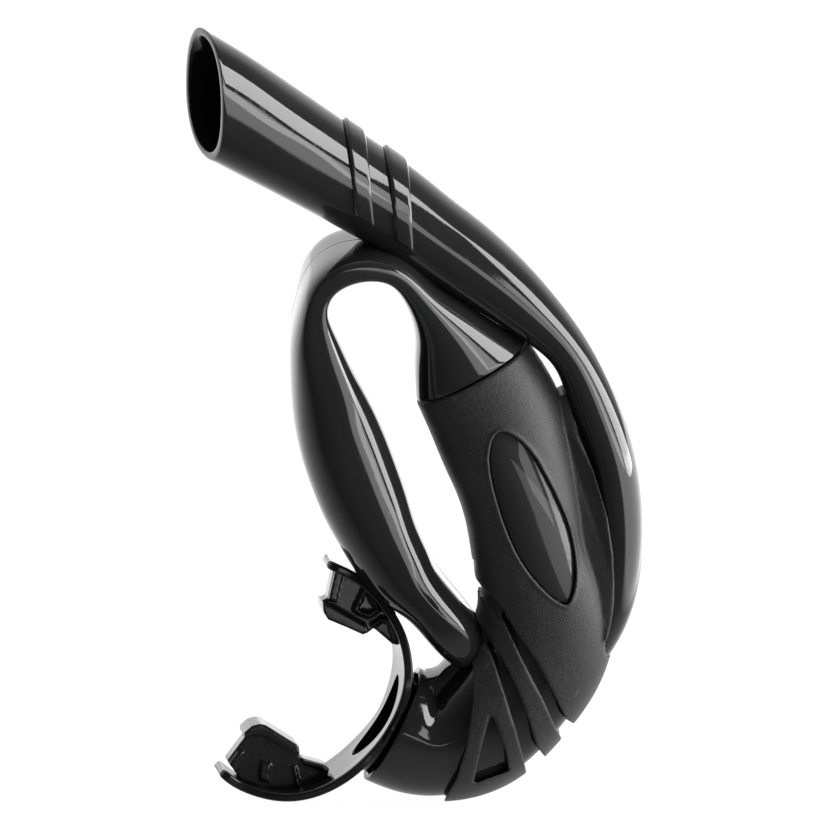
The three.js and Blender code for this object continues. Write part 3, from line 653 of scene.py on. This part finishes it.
# ---------------------------------------------------------------- shell halves
tube_duct = Duct(TUBE)
loop_duct = Duct(LOOP)
body_duct = Duct(BODY, BODY_INSET)
sleeve_duct = Duct(SLEEVE)
BODY_FROM = body_duct.station(BODY_START)
SLEEVE_TO = sleeve_duct.station(SLEEVE_END)

# Plane (point, normal) that cuts the tube's open upper end.
TUBE_CUT = (np.array([-57.607, -13.226, 201.91]), unit([-0.93166, -0.36014, -0.04804]))

# Raised bands on the tube. Corners (x, z): left edge top and bottom, right edge top and bottom.
RIBS = [
    ((-19.46, 191.15), (-17.02, 170.60), (-13.97, 186.95), (-11.94, 167.50)),
    ((-8.60, 183.29), (-6.18, 163.56), (-2.56, 178.38), (-1.36, 160.47)),
]
RIB_END = 1.93         # section angle of the lower end
RIB_HEIGHT = 1.0
RIB_SIDE_ROUND, RIB_END_ROUND = 1.0, 0.8
RIB_SINK = 0.5         # depth of the band's underside below the tube's surface
RIB_ROWS, RIB_COLS = 44, 18

# Thick web of plastic on the inside of the elbow's bend (x, z).
ELBOW_WEB = [
    (1.25, 36.10), (2.89, 36.93), (4.52, 37.18), (6.15, 37.87), (7.65, 39.54),
    (9.15, 40.65), (13.23, 45.26), (16.52, 30.48), (6.71, 22.11), (1.80, 25.03),
]
ELBOW_WEB_DEPTH = 6.0  # to either side of the mid plane


def edge_plane(top, bottom):
    """The plane through an edge in XZ and along Y, facing -X."""
    d = unit([bottom[0] - top[0], 0, bottom[1] - top[1]])
    normal = np.array([d[2], 0, -d[0]])
    if normal[0] > 0:
        normal = -normal
    return (np.array([top[0], 0, top[1]]), normal)


def rib_band(side, rib):
    """A raised band over the tube, from the seam on top to its squared lower end."""
    angles = np.concatenate([[0.0], np.linspace(0.02, RIB_END - 0.09, RIB_ROWS - 5),
                             RIB_END - np.array([0.06, 0.035, 0.015, 0.0])])
    shares = 0.5 - 0.5 * np.cos(np.linspace(0, math.pi, RIB_COLS))
    left, right = (tube_duct.solve(angles, 0.0, side, edge_plane(*edge), 0.0)
                   for edge in (rib[:2], rib[2:]))
    S = left[:, None] + (right - left)[:, None] * shares[None, :]
    T = np.repeat(angles[:, None], RIB_COLS, 1)
    base = tube_duct.point(S, T, 0.0, side, SEAM_GAP)
    width = np.linalg.norm(base[:, -1] - base[:, 0], axis=1)[:, None]
    from_side = np.minimum(shares, 1 - shares)[None, :] * width
    arc = arc_lengths(base[:, RIB_COLS // 2])
    from_end = (arc[-1] - arc)[:, None]
    height = (RIB_HEIGHT * (0.30 + 0.70 * rounding(from_side, RIB_SIDE_ROUND))
              * (0.30 + 0.70 * rounding(from_end, RIB_END_ROUND)))
    top = tube_duct.point(S, T, -height, side, SEAM_GAP)
    bottom = tube_duct.point(S, T, RIB_SINK, side, SEAM_GAP)
    rows, cols = S.shape
    under = rows * cols
    faces = []
    for a, b, c, d in grid_faces(rows, cols):
        faces += [(a, b, c, d), (under + a, under + d, under + c, under + b)]
    rim = [(i * cols + j, (i + 1) * cols + j) for i in range(rows - 1) for j in (0, cols - 1)]
    rim += [(i * cols + j, i * cols + j + 1) for j in range(cols - 1) for i in (0, rows - 1)]
    faces += [(a, b, under + b, under + a) for a, b in rim]
    return new_object("tool", np.concatenate([top.reshape(-1, 3), bottom.reshape(-1, 3)]), faces)


def elbow_web(side):
    """One half of the elbow web, with rounded edges."""
    web = prism_xz(ELBOW_WEB, -ELBOW_WEB_DEPTH, ELBOW_WEB_DEPTH)
    modify(web, "BEVEL", width=2.6, segments=5, limit_method="ANGLE",
           angle_limit=math.radians(50))
    depths = (-60, -SEAM_GAP) if side < 0 else (SEAM_GAP, 60)
    boolean(web, prism_xz(box_outline(-90, 120, -30, 260), *depths), "INTERSECT")
    return web


def finish_shell(obj, stand_in):
    finish(obj, GLOSS, 28, stand_in)


def build_shell_halves(side, tag, tube_solid, loop_solid):
    tube = half_shell("tube_half_" + tag, tube_duct, side, 8.0, tube_duct.length, count=44,
                      step=0.9 * STEP_SCALE, plane=TUBE_CUT)
    for rib in RIBS:
        boolean(tube, rib_band(side, rib), "UNION")
    finish_shell(tube, "tube_shell_" + tag)

    loop = half_shell("loop_half_" + tag, loop_duct, side, 0.0, loop_duct.length, count=44,
                      step=0.9 * STEP_SCALE)
    boolean(loop, tube_solid, drop=False)
    finish_shell(loop, "loop_shell_" + tag)

    body = half_shell("body_half_" + tag, body_duct, side, BODY_FROM, body_duct.length,
                      count=40, step=1.1 * STEP_SCALE)
    boolean(body, elbow_web(side), "UNION")
    boolean(body, tube_solid, drop=False)
    boolean(body, loop_solid, drop=False)
    finish_shell(body, "body_shell_" + tag)


# ---------------------------------------------------------------- grip sleeve
# Outlines on the sight plane: (right, up) of TARGET, mm.
OVAL = round_outline([
    (20.25, -12.15), (20.39, -10.53), (21.33, -6.62), (23.39, -4.67), (27.01, -5.94),
    (31.60, -10.26), (35.81, -17.28), (39.10, -23.90), (41.59, -30.11), (43.21, -37.54),
    (43.67, -44.56), (42.61, -49.55), (41.18, -51.58), (38.29, -50.36), (33.73, -46.23),
    (28.76, -39.62), (25.06, -31.76), (22.58, -24.30), (20.90, -17.69)], per_span=4)
SLOT_UPPER = [
    (23.22, -53.20), (25.11, -57.79), (29.98, -67.78), (34.84, -76.96), (38.35, -85.07),
    (43.48, -93.44), (50.23, -88.04), (41.05, -82.37), (36.19, -72.64), (32.95, -66.43),
    (27.55, -58.60), (24.03, -52.93),
]
SLOT_LOWER = [
    (19.44, -61.30), (22.14, -68.32), (25.11, -77.50), (27.55, -85.34), (29.44, -92.36),
    (31.33, -101.54), (39.43, -97.49), (33.22, -89.93), (29.98, -79.39), (27.01, -72.10),
    (23.22, -64.54), (20.25, -61.03),
]
SMALL_WINDOW = [
    (20.79, -80.47), (18.36, -89.39), (15.93, -99.92), (25.65, -96.41), (24.84, -91.28),
    (22.68, -84.80),
]
GROOVE_UPPER = [
    (11.88, -43.21), (15.12, -45.91), (17.82, -48.88), (19.71, -51.85), (22.41, -55.90),
    (24.03, -56.17), (24.84, -53.47), (23.22, -51.31), (19.98, -48.07), (17.55, -45.64),
    (15.12, -42.13),
]
GROOVE_LOWER = [
    (9.18, -53.47), (12.69, -56.17), (15.66, -59.41), (18.36, -62.38), (19.98, -64.27),
    (21.60, -63.73), (21.60, -61.03), (19.44, -58.87), (16.47, -55.36), (14.04, -52.39),
]
# Everything to the lower left of the sleeve's edge.
LOWER_LEFT = [
    (16.74, -39.43), (15.93, -48.07), (13.23, -59.41), (14.58, -61.84), (15.93, -68.32),
    (16.20, -75.61), (15.39, -82.91), (14.04, -90.47), (11.61, -98.30), (7.83, -104.78),
    (5.94, -112.34), (-19.98, -112.34), (-19.98, -39.43),
]
CUT_NEAR, CUT_FAR, OVAL_CUT_FAR = -45, 0.2, -2.0      # depths the cuts run between
GROOVE_DEPTH = 1.15

# Web between the sleeve and the tube (x, z). The last four points are its left edge.
SLEEVE_WEB = [
    (40.54, 116.55), (41.36, 113.20), (43.14, 106.21), (45.19, 101.16), (47.37, 95.82),
    (49.29, 89.65), (51.21, 82.90), (52.74, 72.79), (53.05, 64.64), (52.94, 58.74),
    (52.16, 53.41), (51.09, 48.92), (45.13, 49.01), (38.31, 60.65), (34.14, 94.34),
    (34.09, 113.30),
]
WEB_HALF_DEPTH = 12.9
WEB_TAPER, WEB_TOP_SHARE = 24.0, 0.42                 # length of the taper and depth at the top
WEB_LEFT_POINTS, WEB_LEFT_SHARE = 4, 0.84


def sleeve_web():
    """The web, thinner towards its top and along its left edge."""
    web = prism_xz(SLEEVE_WEB, -WEB_HALF_DEPTH, WEB_HALF_DEPTH)
    top = max(z for _, z in SLEEVE_WEB)
    n = len(SLEEVE_WEB)
    for i, v in enumerate(web.data.vertices):
        taper = float(np.interp(v.co.z, [top - WEB_TAPER, top], [1.0, WEB_TOP_SHARE]))
        v.co.y *= taper * (WEB_LEFT_SHARE if i % n >= n - WEB_LEFT_POINTS else 1.0)
    return web


def sleeve_surface():
    """Search tree over the sleeve's outer surface."""
    obj = solid(sleeve_duct, 0.0, SLEEVE_TO, count=60, step=0.8)
    tree = BVHTree.FromPolygons([v.co for v in obj.data.vertices],
                                [p.vertices for p in obj.data.polygons])
    bpy.data.objects.remove(obj)
    return tree


def on_sleeve(tree, outline, lift=0.0):
    """Sight-plane points dropped onto the sleeve's near surface."""
    points = []
    for near, far in zip(at_depth(outline, -60), at_depth(outline, 0)):
        hit, normal = tree.ray_cast(Vector(near), Vector(far - near).normalized())[:2]
        # A point beside the sleeve stays on the mid plane.
        points.append(np.array(hit + normal * lift) if hit is not None else far)
    return np.array(points)


def build_sleeve(tree, tube_solid, loop_solid):
    """The near half is cut to shape, then joined to its mirror image and softened."""
    sleeve = solid(sleeve_duct, 0.0, SLEEVE_TO, count=40, step=1.2, name="grip_sleeve_rubber")
    boolean(sleeve, sleeve_web(), "UNION")
    boolean(sleeve, solid(body_duct, BODY_FROM, body_duct.length, inset=-0.03, count=36))
    boolean(sleeve, solid(sleeve_duct, 0.0, sleeve_duct.station(1.2), inset=1.9, count=36,
                          lead=2.0))
    boolean(sleeve, tube_solid, drop=False)
    boolean(sleeve, loop_solid, drop=False)
    # The near half runs just past the mid plane, so that the two halves overlap.
    boolean(sleeve, prism_xz(box_outline(-60, 120, -30, 160), -60, 0.05), "INTERSECT")
    groove_floor = solid(sleeve_duct, 0.0, SLEEVE_TO, inset=GROOVE_DEPTH, count=30)
    for outline in (GROOVE_UPPER, GROOVE_LOWER):
        groove = prism_sight(outline, CUT_NEAR, CUT_FAR)
        boolean(groove, groove_floor, drop=False)
        boolean(sleeve, groove)
    bpy.data.objects.remove(groove_floor)
    for outline in (SLOT_UPPER, SLOT_LOWER, SMALL_WINDOW, LOWER_LEFT):
        boolean(sleeve, prism_sight(outline, CUT_NEAR, CUT_FAR))
    boolean(sleeve, prism_sight(OVAL, CUT_NEAR, OVAL_CUT_FAR))
    # a raised lip round the oval window
    lip_path = on_sleeve(tree, grow(OVAL, 0.38), lift=0.02)
    boolean(sleeve, bead(lip_path, radius=0.46, ring=10), "UNION")
    boolean(sleeve, mirrored(sleeve), "UNION")
    soften(sleeve, voxel=0.42, smoothing=5, keep=0.45)
    finish(sleeve, RUBBER, 60, "grip_sleeve")


# ---------------------------------------------------------------- inlays in the oval windows
INLAY_SHARES = [0.15, 0.3, 0.45, 0.6, 0.72, 0.82, 0.9, 0.95, 0.985, 1.0]
INLAY_CLEARANCE = 0.12
INLAY_RIM_SINK, INLAY_CROWN = 1.05, 1.35   # depth at the rim, rise from there to the middle
INLAY_CENTRE_RISE = 0.30
INLAY_RIM_DROP = 0.25                      # extra depth of the outermost ring
INLAY_THICKNESS = 0.9


def build_inlay(tree, side, tag):
    """A domed lens fitted by a smooth fifth-degree surface to the sleeve's skin."""
    rim = grow(OVAL, -INLAY_CLEARANCE)
    n = len(rim)
    centre = rim.mean(0)
    verts = [on_sleeve(tree, [centre])[0] + np.array([0, -INLAY_CENTRE_RISE, 0])]
    for share in INLAY_SHARES:
        sink = INLAY_RIM_SINK - INLAY_CROWN * (1 - share ** 2)
        for p in on_sleeve(tree, centre + (rim - centre) * share):
            verts.append(p + DEPTH_AXIS * sink)
    verts = np.array(verts)
    q = (verts - verts.mean(0)) / 15.0
    terms = np.stack([q[:, 0] ** i * q[:, 2] ** j for i in range(6) for j in range(6 - i)], 1)
    fit = terms @ np.linalg.lstsq(terms[:-n], verts[:-n, 1], rcond=None)[0]
    verts[:-n, 1] = fit[:-n]
    verts[-n:, 1] = fit[-n:] + INLAY_RIM_DROP
    verts = list(verts)

    faces = [(0, 1 + j, 1 + (j + 1) % n) for j in range(n)]
    for k in range(len(INLAY_SHARES) - 1):
        for j in range(n):
            a = 1 + k * n + j
            b = 1 + k * n + (j + 1) % n
            faces.append((a, a + n, b + n, b))
    last, back = len(verts) - n, len(verts)
    verts += [verts[last + j] + np.array([0, INLAY_THICKNESS, 0]) for j in range(n)]
    faces += [(last + j, back + j, back + (j + 1) % n, last + (j + 1) % n) for j in range(n)]
    verts.append(np.mean(verts[back:back + n], 0))
    faces += [(back + n, back + (j + 1) % n, back + j) for j in range(n)]
    verts = np.array(verts)
    if side > 0:
        verts[:, 1] *= -1
    obj = new_object("inlay_lens_" + tag, verts, faces)
    modify(obj, "SUBSURF", levels=1)
    finish(obj, INLAY, 50, "grip_inlay_" + tag)


# ---------------------------------------------------------------- mouthpiece
# All in the mouthpiece frame. Flange centre line (x, z).
FLANGE = [
    [32.6, 36.6], [32.9, 28.3], [31.2, 21.0], [28.1, 14.6], [24.1, 9.2], [19.0, 5.0],
    [14.0, 2.3], [8.3, 0.7], [1.7, 0.0], [-4.6, 0.6], [-11.3, 2.4], [-17.8, 5.0],
    [-24.3, 9.2], [-29.6, 14.9], [-32.6, 20.9], [-34.0, 27.2], [-34.0, 32.2], [-33.0, 36.6],
]
FLANGE_THICKNESS = 2.2
FLANGE_END_ROUND = 3.2                     # rounding of the height at both ends
# Bezier spans of the flange's half height: (x, y) control points.
FLANGE_HEIGHT = [
    ((-36, 0), (-36, 8.5), (-33, 11.6), (-25, 13.2)),
    ((-25, 13.2), (-15, 15), (-8, 14.6), (0, 13.2)),
    ((0, 13.2), (8, 14.6), (15, 15), (24, 13.2)),
    ((24, 13.2), (31, 11.6), (35, 7.5), (35, 0)),
]
# Rim profile with two moulded grooves: (distance in from the edge, share of the thickness).
FLANGE_RIM = [
    (0.95, 0.0), (0.45, 0.03), (0.14, 0.12), (0.0, 0.22), (0.0, 0.30), (0.16, 0.335),
    (0.0, 0.37), (0.0, 0.52), (0.0, 0.60), (0.16, 0.635), (0.0, 0.67), (0.0, 0.78),
    (0.14, 0.88), (0.45, 0.97), (0.95, 1.0),
]
FLANGE_FACE = [0.72, 0.5, 0.25, 0.0, -0.25, -0.5, -0.72]     # shares of the half height
BEAD_HEIGHT, BEAD_WIDTH = 0.16, 1.2        # swelling of both faces near the edge
# Cuff section (radius, z) and the openings through it.
BORE_RADIUS = 11.72
CUFF = [
    (BORE_RADIUS, -6.6), (12.8, -6.6), (13.1, -6.3), (13.1, -1.2), (13.3, -0.6), (13.9, -0.1),
    (15.0, 0.9), (15.0, 1.6), (BORE_RADIUS, 1.6),
]
AIRWAY_X, AIRWAY_Y = 12.6, 8.2             # half sizes of the oval airway
ROUND_SEGMENTS = 72

# Bite pieces: slab and pad outlines (x, z), then ridges as (outline, half width).
SLAB_HALF, PAD_HALF = 3.6, 6.6
UPPER_SLAB = [
    (32.12, 33.54), (30.42, 33.89), (22.89, 31.80), (21.73, 32.88), (19.16, 31.27),
    (17.90, 29.19), (18.27, 24.16), (18.30, 18.63), (19.81, 17.27), (21.20, 16.76),
    (20.96, 15.40), (19.63, 10.08), (20.36, 7.39), (22.43, 7.54), (28.39, 14.05),
    (31.42, 21.48), (32.86, 28.40),
]
UPPER_PAD = [
    (21.64, 31.58), (21.57, 32.93), (19.25, 31.44), (17.99, 29.37), (18.36, 24.33),
    (18.61, 18.92), (19.95, 17.78), (21.04, 19.27), (21.16, 21.49), (21.52, 27.52),
]
UPPER_RIDGES = [
    ([(30.85, 33.65), (31.34, 31.44), (23.13, 29.46), (22.70, 31.55)], 5.2),
    ([(30.01, 24.29), (30.01, 23.37), (23.26, 23.07), (23.32, 24.18)], 5.2),
    ([(30.07, 23.55), (26.68, 17.47), (23.39, 19.14), (23.02, 22.95), (23.87, 23.08),
      (24.18, 20.01), (26.43, 18.57), (29.22, 23.42)], 4.9),
    ([(21.93, 17.76), (24.86, 16.21), (25.47, 13.75), (22.31, 9.64), (21.09, 10.23),
      (24.49, 13.86), (24.07, 15.64), (21.81, 16.77)], 4.9),
]
LOWER_SLAB = [
    (-28.73, 35.63), (-20.69, 34.28), (-19.84, 35.34), (-17.16, 34.28), (-15.70, 32.58),
    (-15.34, 30.93), (-16.32, 20.57), (-17.05, 19.57), (-18.76, 18.68), (-19.12, 17.57),
    (-17.91, 11.42), (-18.52, 9.56), (-20.41, 9.04), (-22.67, 9.87), (-27.06, 14.35),
    (-31.43, 23.77), (-31.91, 30.29),
]
LOWER_PAD = [
    (-20.77, 34.82), (-19.74, 35.51), (-17.06, 34.45), (-15.60, 32.75), (-15.24, 31.10),
    (-16.22, 20.74), (-17.92, 19.24), (-18.41, 20.83), (-17.43, 29.34), (-18.40, 32.52),
]
LOWER_RIDGES = [
    ([(-25.32, 34.33), (-25.20, 32.86), (-30.20, 33.02), (-29.34, 35.00)], 5.0),
    ([(-24.85, 27.20), (-24.60, 26.10), (-28.99, 24.42), (-29.24, 25.53)], 4.6),
    ([(-24.72, 25.73), (-24.48, 24.62), (-28.87, 22.95), (-29.12, 24.05)], 4.6),
    ([(-22.29, 18.99), (-21.93, 18.26), (-26.08, 14.86), (-26.44, 15.60)], 4.6),
    ([(-19.37, 17.44), (-18.15, 11.30), (-18.89, 9.68), (-19.74, 10.16), (-19.25, 11.65),
      (-20.34, 16.93)], 4.6),
]


def bezier(p0, p1, p2, p3):
    t = np.linspace(0, 1, 14)[:, None]
    p0, p1, p2, p3 = map(np.array, (p0, p1, p2, p3))
    return (1 - t) ** 3 * p0 + 3 * (1 - t) ** 2 * t * p1 + 3 * (1 - t) * t * t * p2 + t ** 3 * p3


def flange_mesh(name):
    """The curved lip flange, swept along its centre line."""
    stations = [np.array(p) for p in FLANGE]
    line = np.array([curve_point(stations, q) for q in np.linspace(0, len(FLANGE) - 1, 240)])
    line = smooth_rows(line, 5)
    lengths = arc_lengths(line)
    total = lengths[-1]
    s = np.concatenate([np.array([0.0, 0.12, 0.35, 0.7, 1.2, 2.0]),
                        np.linspace(3.0, total - 3.0, 130),
                        total - np.array([2.0, 1.2, 0.7, 0.35, 0.12, 0.0])])
    centre = interp_columns(s, lengths, line)
    travel = unit_rows(interp_columns(s, lengths, unit_rows(np.gradient(line, axis=0))))
    normal = np.stack([travel[:, 1], -travel[:, 0]], 1)
    outline = np.concatenate([bezier(*span) for span in FLANGE_HEIGHT])
    height = np.interp(centre[:, 0], outline[:, 0], outline[:, 1])
    edge = np.minimum(s, total - s)
    height = height - FLANGE_END_ROUND * (1 - rounding(edge, FLANGE_END_ROUND))
    thickness = FLANGE_THICKNESS - 1.5 * (1 - rounding(edge, 1.1))
    # (sign of y, distance in from the edge, depth); sign 0 marks a share of the half height
    profile = [(1, x, depth) for x, depth in FLANGE_RIM]
    profile += [(0, x, 1.0) for x in FLANGE_FACE]
    profile += [(-1, x, depth) for x, depth in FLANGE_RIM[::-1]]
    profile += [(0, x, 0.0) for x in FLANGE_FACE[::-1]]
    verts = []
    for i, h in enumerate(height):
        for sign, x, depth in profile:
            y = sign * (h - x) if sign else x * h
            out = FLANGE_THICKNESS / 2 + (depth - 0.5) * thickness[i]
            swell = BEAD_HEIGHT * math.exp(-((h - abs(y)) / BEAD_WIDTH) ** 2)
            out += swell if depth > 0.5 else -swell
            verts.append([centre[i, 0] + normal[i, 0] * out, y,
                          centre[i, 1] + normal[i, 1] * out])
    rows, cols = len(s), len(profile)
    faces = grid_faces(rows, cols, wrap_cols=True)
    faces += [tuple(range(cols)), tuple(range((rows - 1) * cols, rows * cols))]
    return new_object(name, to_mouth(verts), faces)


def mouth_lathe(profile):
    verts = []
    for i in range(ROUND_SEGMENTS):
        angle = 2 * math.pi * i / ROUND_SEGMENTS
        verts += [[r * math.cos(angle), r * math.sin(angle), z] for r, z in profile]
    faces = grid_faces(ROUND_SEGMENTS, len(profile), True, True)
    return new_object("tool", to_mouth(verts), faces)


def mouth_cylinder(half_x, half_y, z0, z1):
    angles = [2 * math.pi * i / ROUND_SEGMENTS for i in range(ROUND_SEGMENTS)]
    return ring_prism(*(to_mouth([[half_x * math.cos(t), half_y * math.sin(t), z]
                                  for t in angles]) for z in (z0, z1)))


def mouth_prism(outline, half_width, name="tool"):
    return ring_prism(*(to_mouth([[x, y, z] for x, z in outline])
                        for y in (-half_width, half_width)), name)


def finish_mouth(obj, sharp):
    finish(obj, SILICONE, sharp, "mouthpiece", body="mouthpiece_assembly")


def build_flange():
    flange = flange_mesh("mouthpiece_lip_flange")
    boolean(flange, mouth_lathe(CUFF), "UNION")
    boolean(flange, mouth_cylinder(BORE_RADIUS, BORE_RADIUS, -10, -1.0))
    boolean(flange, mouth_cylinder(AIRWAY_X, AIRWAY_Y, -1.2, 20))
    finish_mouth(flange, 40)


def build_bite(name, slab, pad, ridges):
    bite = mouth_prism(slab, SLAB_HALF, name)
    for outline, half_width in [(pad, PAD_HALF)] + ridges:
        boolean(bite, mouth_prism(outline, half_width), "UNION")
    soften(bite, voxel=0.30, smoothing=4, keep=0.6)
    finish_mouth(bite, 60)


# ---------------------------------------------------------------- parts kept from the frame
# (piece, material, slot)
KEPT = [
    ("cone_coupler", MATTE, "valve_plastic"), ("exhale_valve_seat", MATTE, "valve_plastic"),
    ("exhale_flap_clip", MATTE, "valve_plastic"), ("inhale_valve_seat", MATTE, "valve_plastic"),
    ("neck_collar", MATTE, "valve_plastic"), ("neck_seal_ring", SEAL, "silicone_black"),
    ("mouthpiece_spigot", MATTE, "valve_plastic"), ("mouthpiece_clamp", MATTE, "valve_plastic"),
    ("exhale_flap", FLAP, "silicone_black"), ("inhale_flap", FLAP, "silicone_black"),
]


def dress_kept_parts():
    for name, material, slot in KEPT:
        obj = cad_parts[name]
        shade(obj.data, material, 30)


# ---------------------------------------------------------------- stage (metres)
FLOOR_HALF, FLOOR_Z = 6, -0.0004
LIGHT_AIM = Vector((0, 0, 0.11))
SENSOR_WIDTH = 36.0


def floor_material():
    """Pale to the camera; to other rays, a glow that grows to the back and the right."""
    material = bpy.data.materials.new("pale_floor")
    tree = new_tree(material)
    seen = add_node(tree, "Emission", {0: (1, 1, 1, 1), 1: 0.97})
    diffuse = add_node(tree, "BsdfDiffuse", {0: (0.12, 0.12, 0.12, 1)})
    pale = add_node(tree, "AddShader", {0: seen.outputs[0], 1: diffuse.outputs[0]})
    position = add_node(tree, "NewGeometry", {}).outputs["Position"]
    axes = add_node(tree, "SeparateXYZ", {0: position})
    to_back = map_range(tree, axes.outputs[1], from_min=-0.10, from_max=0.25,
                        to_min=0.12, to_max=1.7)
    to_right = map_range(tree, axes.outputs[0], from_min=0.13, from_max=0.17,
                         to_min=0.0, to_max=3.2)
    glow = add_node(tree, "Emission", {1: math_node(tree, "MAXIMUM", to_back, to_right)})
    camera_ray = add_node(tree, "LightPath", {}).outputs["Is Camera Ray"]
    shader = add_node(tree, "MixShader",
                      {0: camera_ray, 1: glow.outputs[0], 2: pale.outputs[0]})
    add_node(tree, "OutputMaterial", {0: shader.outputs[0]})
    return material


def build_floor():
    mesh = bpy.data.meshes.new("floor")
    h = FLOOR_HALF
    corners = [(-h, -h, FLOOR_Z), (h, -h, FLOOR_Z), (h, h, FLOOR_Z), (-h, h, FLOOR_Z)]
    mesh.from_pydata(corners, [], [(0, 1, 2, 3)])
    floor = bpy.data.objects.new("floor", mesh)
    bpy.context.scene.collection.objects.link(floor)
    mesh.materials.append(floor_material())


def build_world():
    """White to the camera; to other rays, bright at the back, dark in front and to the right."""
    world = bpy.data.worlds.new("studio")
    bpy.context.scene.world = world
    tree = new_tree(world)
    direction = add_node(tree, "TexCoord", {}).outputs["Generated"]
    axes = add_node(tree, "SeparateXYZ", {0: direction})
    to_right = math_node(tree, "MAXIMUM", axes.outputs[0], 0.0)
    level = math_node(tree, "MULTIPLY_ADD", to_right, -0.9, axes.outputs[1])
    share = map_range(tree, level, from_min=-1.0, from_max=1.0, to_min=0.0, to_max=1.0)
    shades = ramp(tree, share, (0.12, 0.05), (0.34, 0.20), (0.55, 0.75), (0.85, 1.0))
    lit = math_node(tree, "MULTIPLY", shades, 1.6)
    camera_ray = add_node(tree, "LightPath", {}).outputs["Is Camera Ray"]
    strength = add_node(tree, "Mix", {0: camera_ray, 2: lit, 3: 1.0}, data_type="FLOAT")
    background = add_node(tree, "Background", {1: strength.outputs[0]})
    add_node(tree, "OutputWorld", {0: background.outputs[0]})


def softbox(name, around, above, distance, width, length, tilt, radiance, glossy=True):
    """A rectangular light: degrees right of the front and up, long side tilted to the left."""
    a, e = math.radians(around), math.radians(above)
    away = Vector((math.cos(e) * math.sin(a), -math.cos(e) * math.cos(a), math.sin(e)))
    right = Vector((math.cos(a), math.sin(a), 0))
    up = right.cross(-away)
    t = math.radians(tilt)
    y = up * math.cos(t) - right * math.sin(t)
    x = y.cross(away)
    light = bpy.data.lights.new(name, "AREA")
    light.shape = "RECTANGLE"
    light.size = width
    light.size_y = length
    light.energy = radiance * math.pi * width * length
    obj = bpy.data.objects.new(name, light)
    bpy.context.scene.collection.objects.link(obj)
    matrix = Matrix((x, y, away)).transposed().to_4x4()
    matrix.translation = LIGHT_AIM + away * distance
    obj.matrix_world = matrix
    if not glossy:
        obj.visible_glossy = False


def build_camera():
    scene = bpy.context.scene
    camera = bpy.data.cameras.new("camera")
    camera.sensor_width = SENSOR_WIDTH
    camera.lens = SENSOR_WIDTH * CAMERA_DISTANCE / FRAME_WIDTH
    camera.clip_start, camera.clip_end = 0.01, 60
    obj = bpy.data.objects.new("camera", camera)
    scene.collection.objects.link(obj)
    obj.location = Vector(CAMERA * 0.001)
    obj.rotation_mode = "QUATERNION"
    axes = Matrix((Vector(RIGHT), Vector(UP), Vector(BACK))).transposed()
    obj.rotation_quaternion = axes.to_quaternion()
    scene.camera = obj
    scene.view_settings.view_transform = "Standard"
    scene.view_settings.look = "None"


# ---------------------------------------------------------------- build
SIDES = ((-1, "near"), (1, "far"))
tube_solid, loop_solid = (solid(duct, 0.0, duct.length, inset=-0.05, count=28)
                          for duct in (tube_duct, loop_duct))
for side, tag in SIDES:
    build_shell_halves(side, tag, tube_solid, loop_solid)
sleeve_tree = sleeve_surface()
build_sleeve(sleeve_tree, tube_solid, loop_solid)
for side, tag in SIDES:
    build_inlay(sleeve_tree, side, tag)
build_flange()
build_bite("mouthpiece_bite_upper", UPPER_SLAB, UPPER_PAD, UPPER_RIDGES)
build_bite("mouthpiece_bite_lower", LOWER_SLAB, LOWER_PAD, LOWER_RIDGES)
for obj in (tube_solid, loop_solid):
    bpy.data.objects.remove(obj)
dress_kept_parts()

build_floor()
build_world()
softbox("soft_right", around=82, above=5, distance=1.0, width=0.62, length=1.5, tilt=46,
        radiance=10.5)
softbox("soft_front", around=54, above=-17, distance=1.0, width=0.40, length=1.5, tilt=46,
        radiance=4.6)
softbox("soft_fill", around=-40, above=70, distance=1.2, width=0.5, length=0.5, tilt=0,
        radiance=1.5, glossy=False)
build_camera()
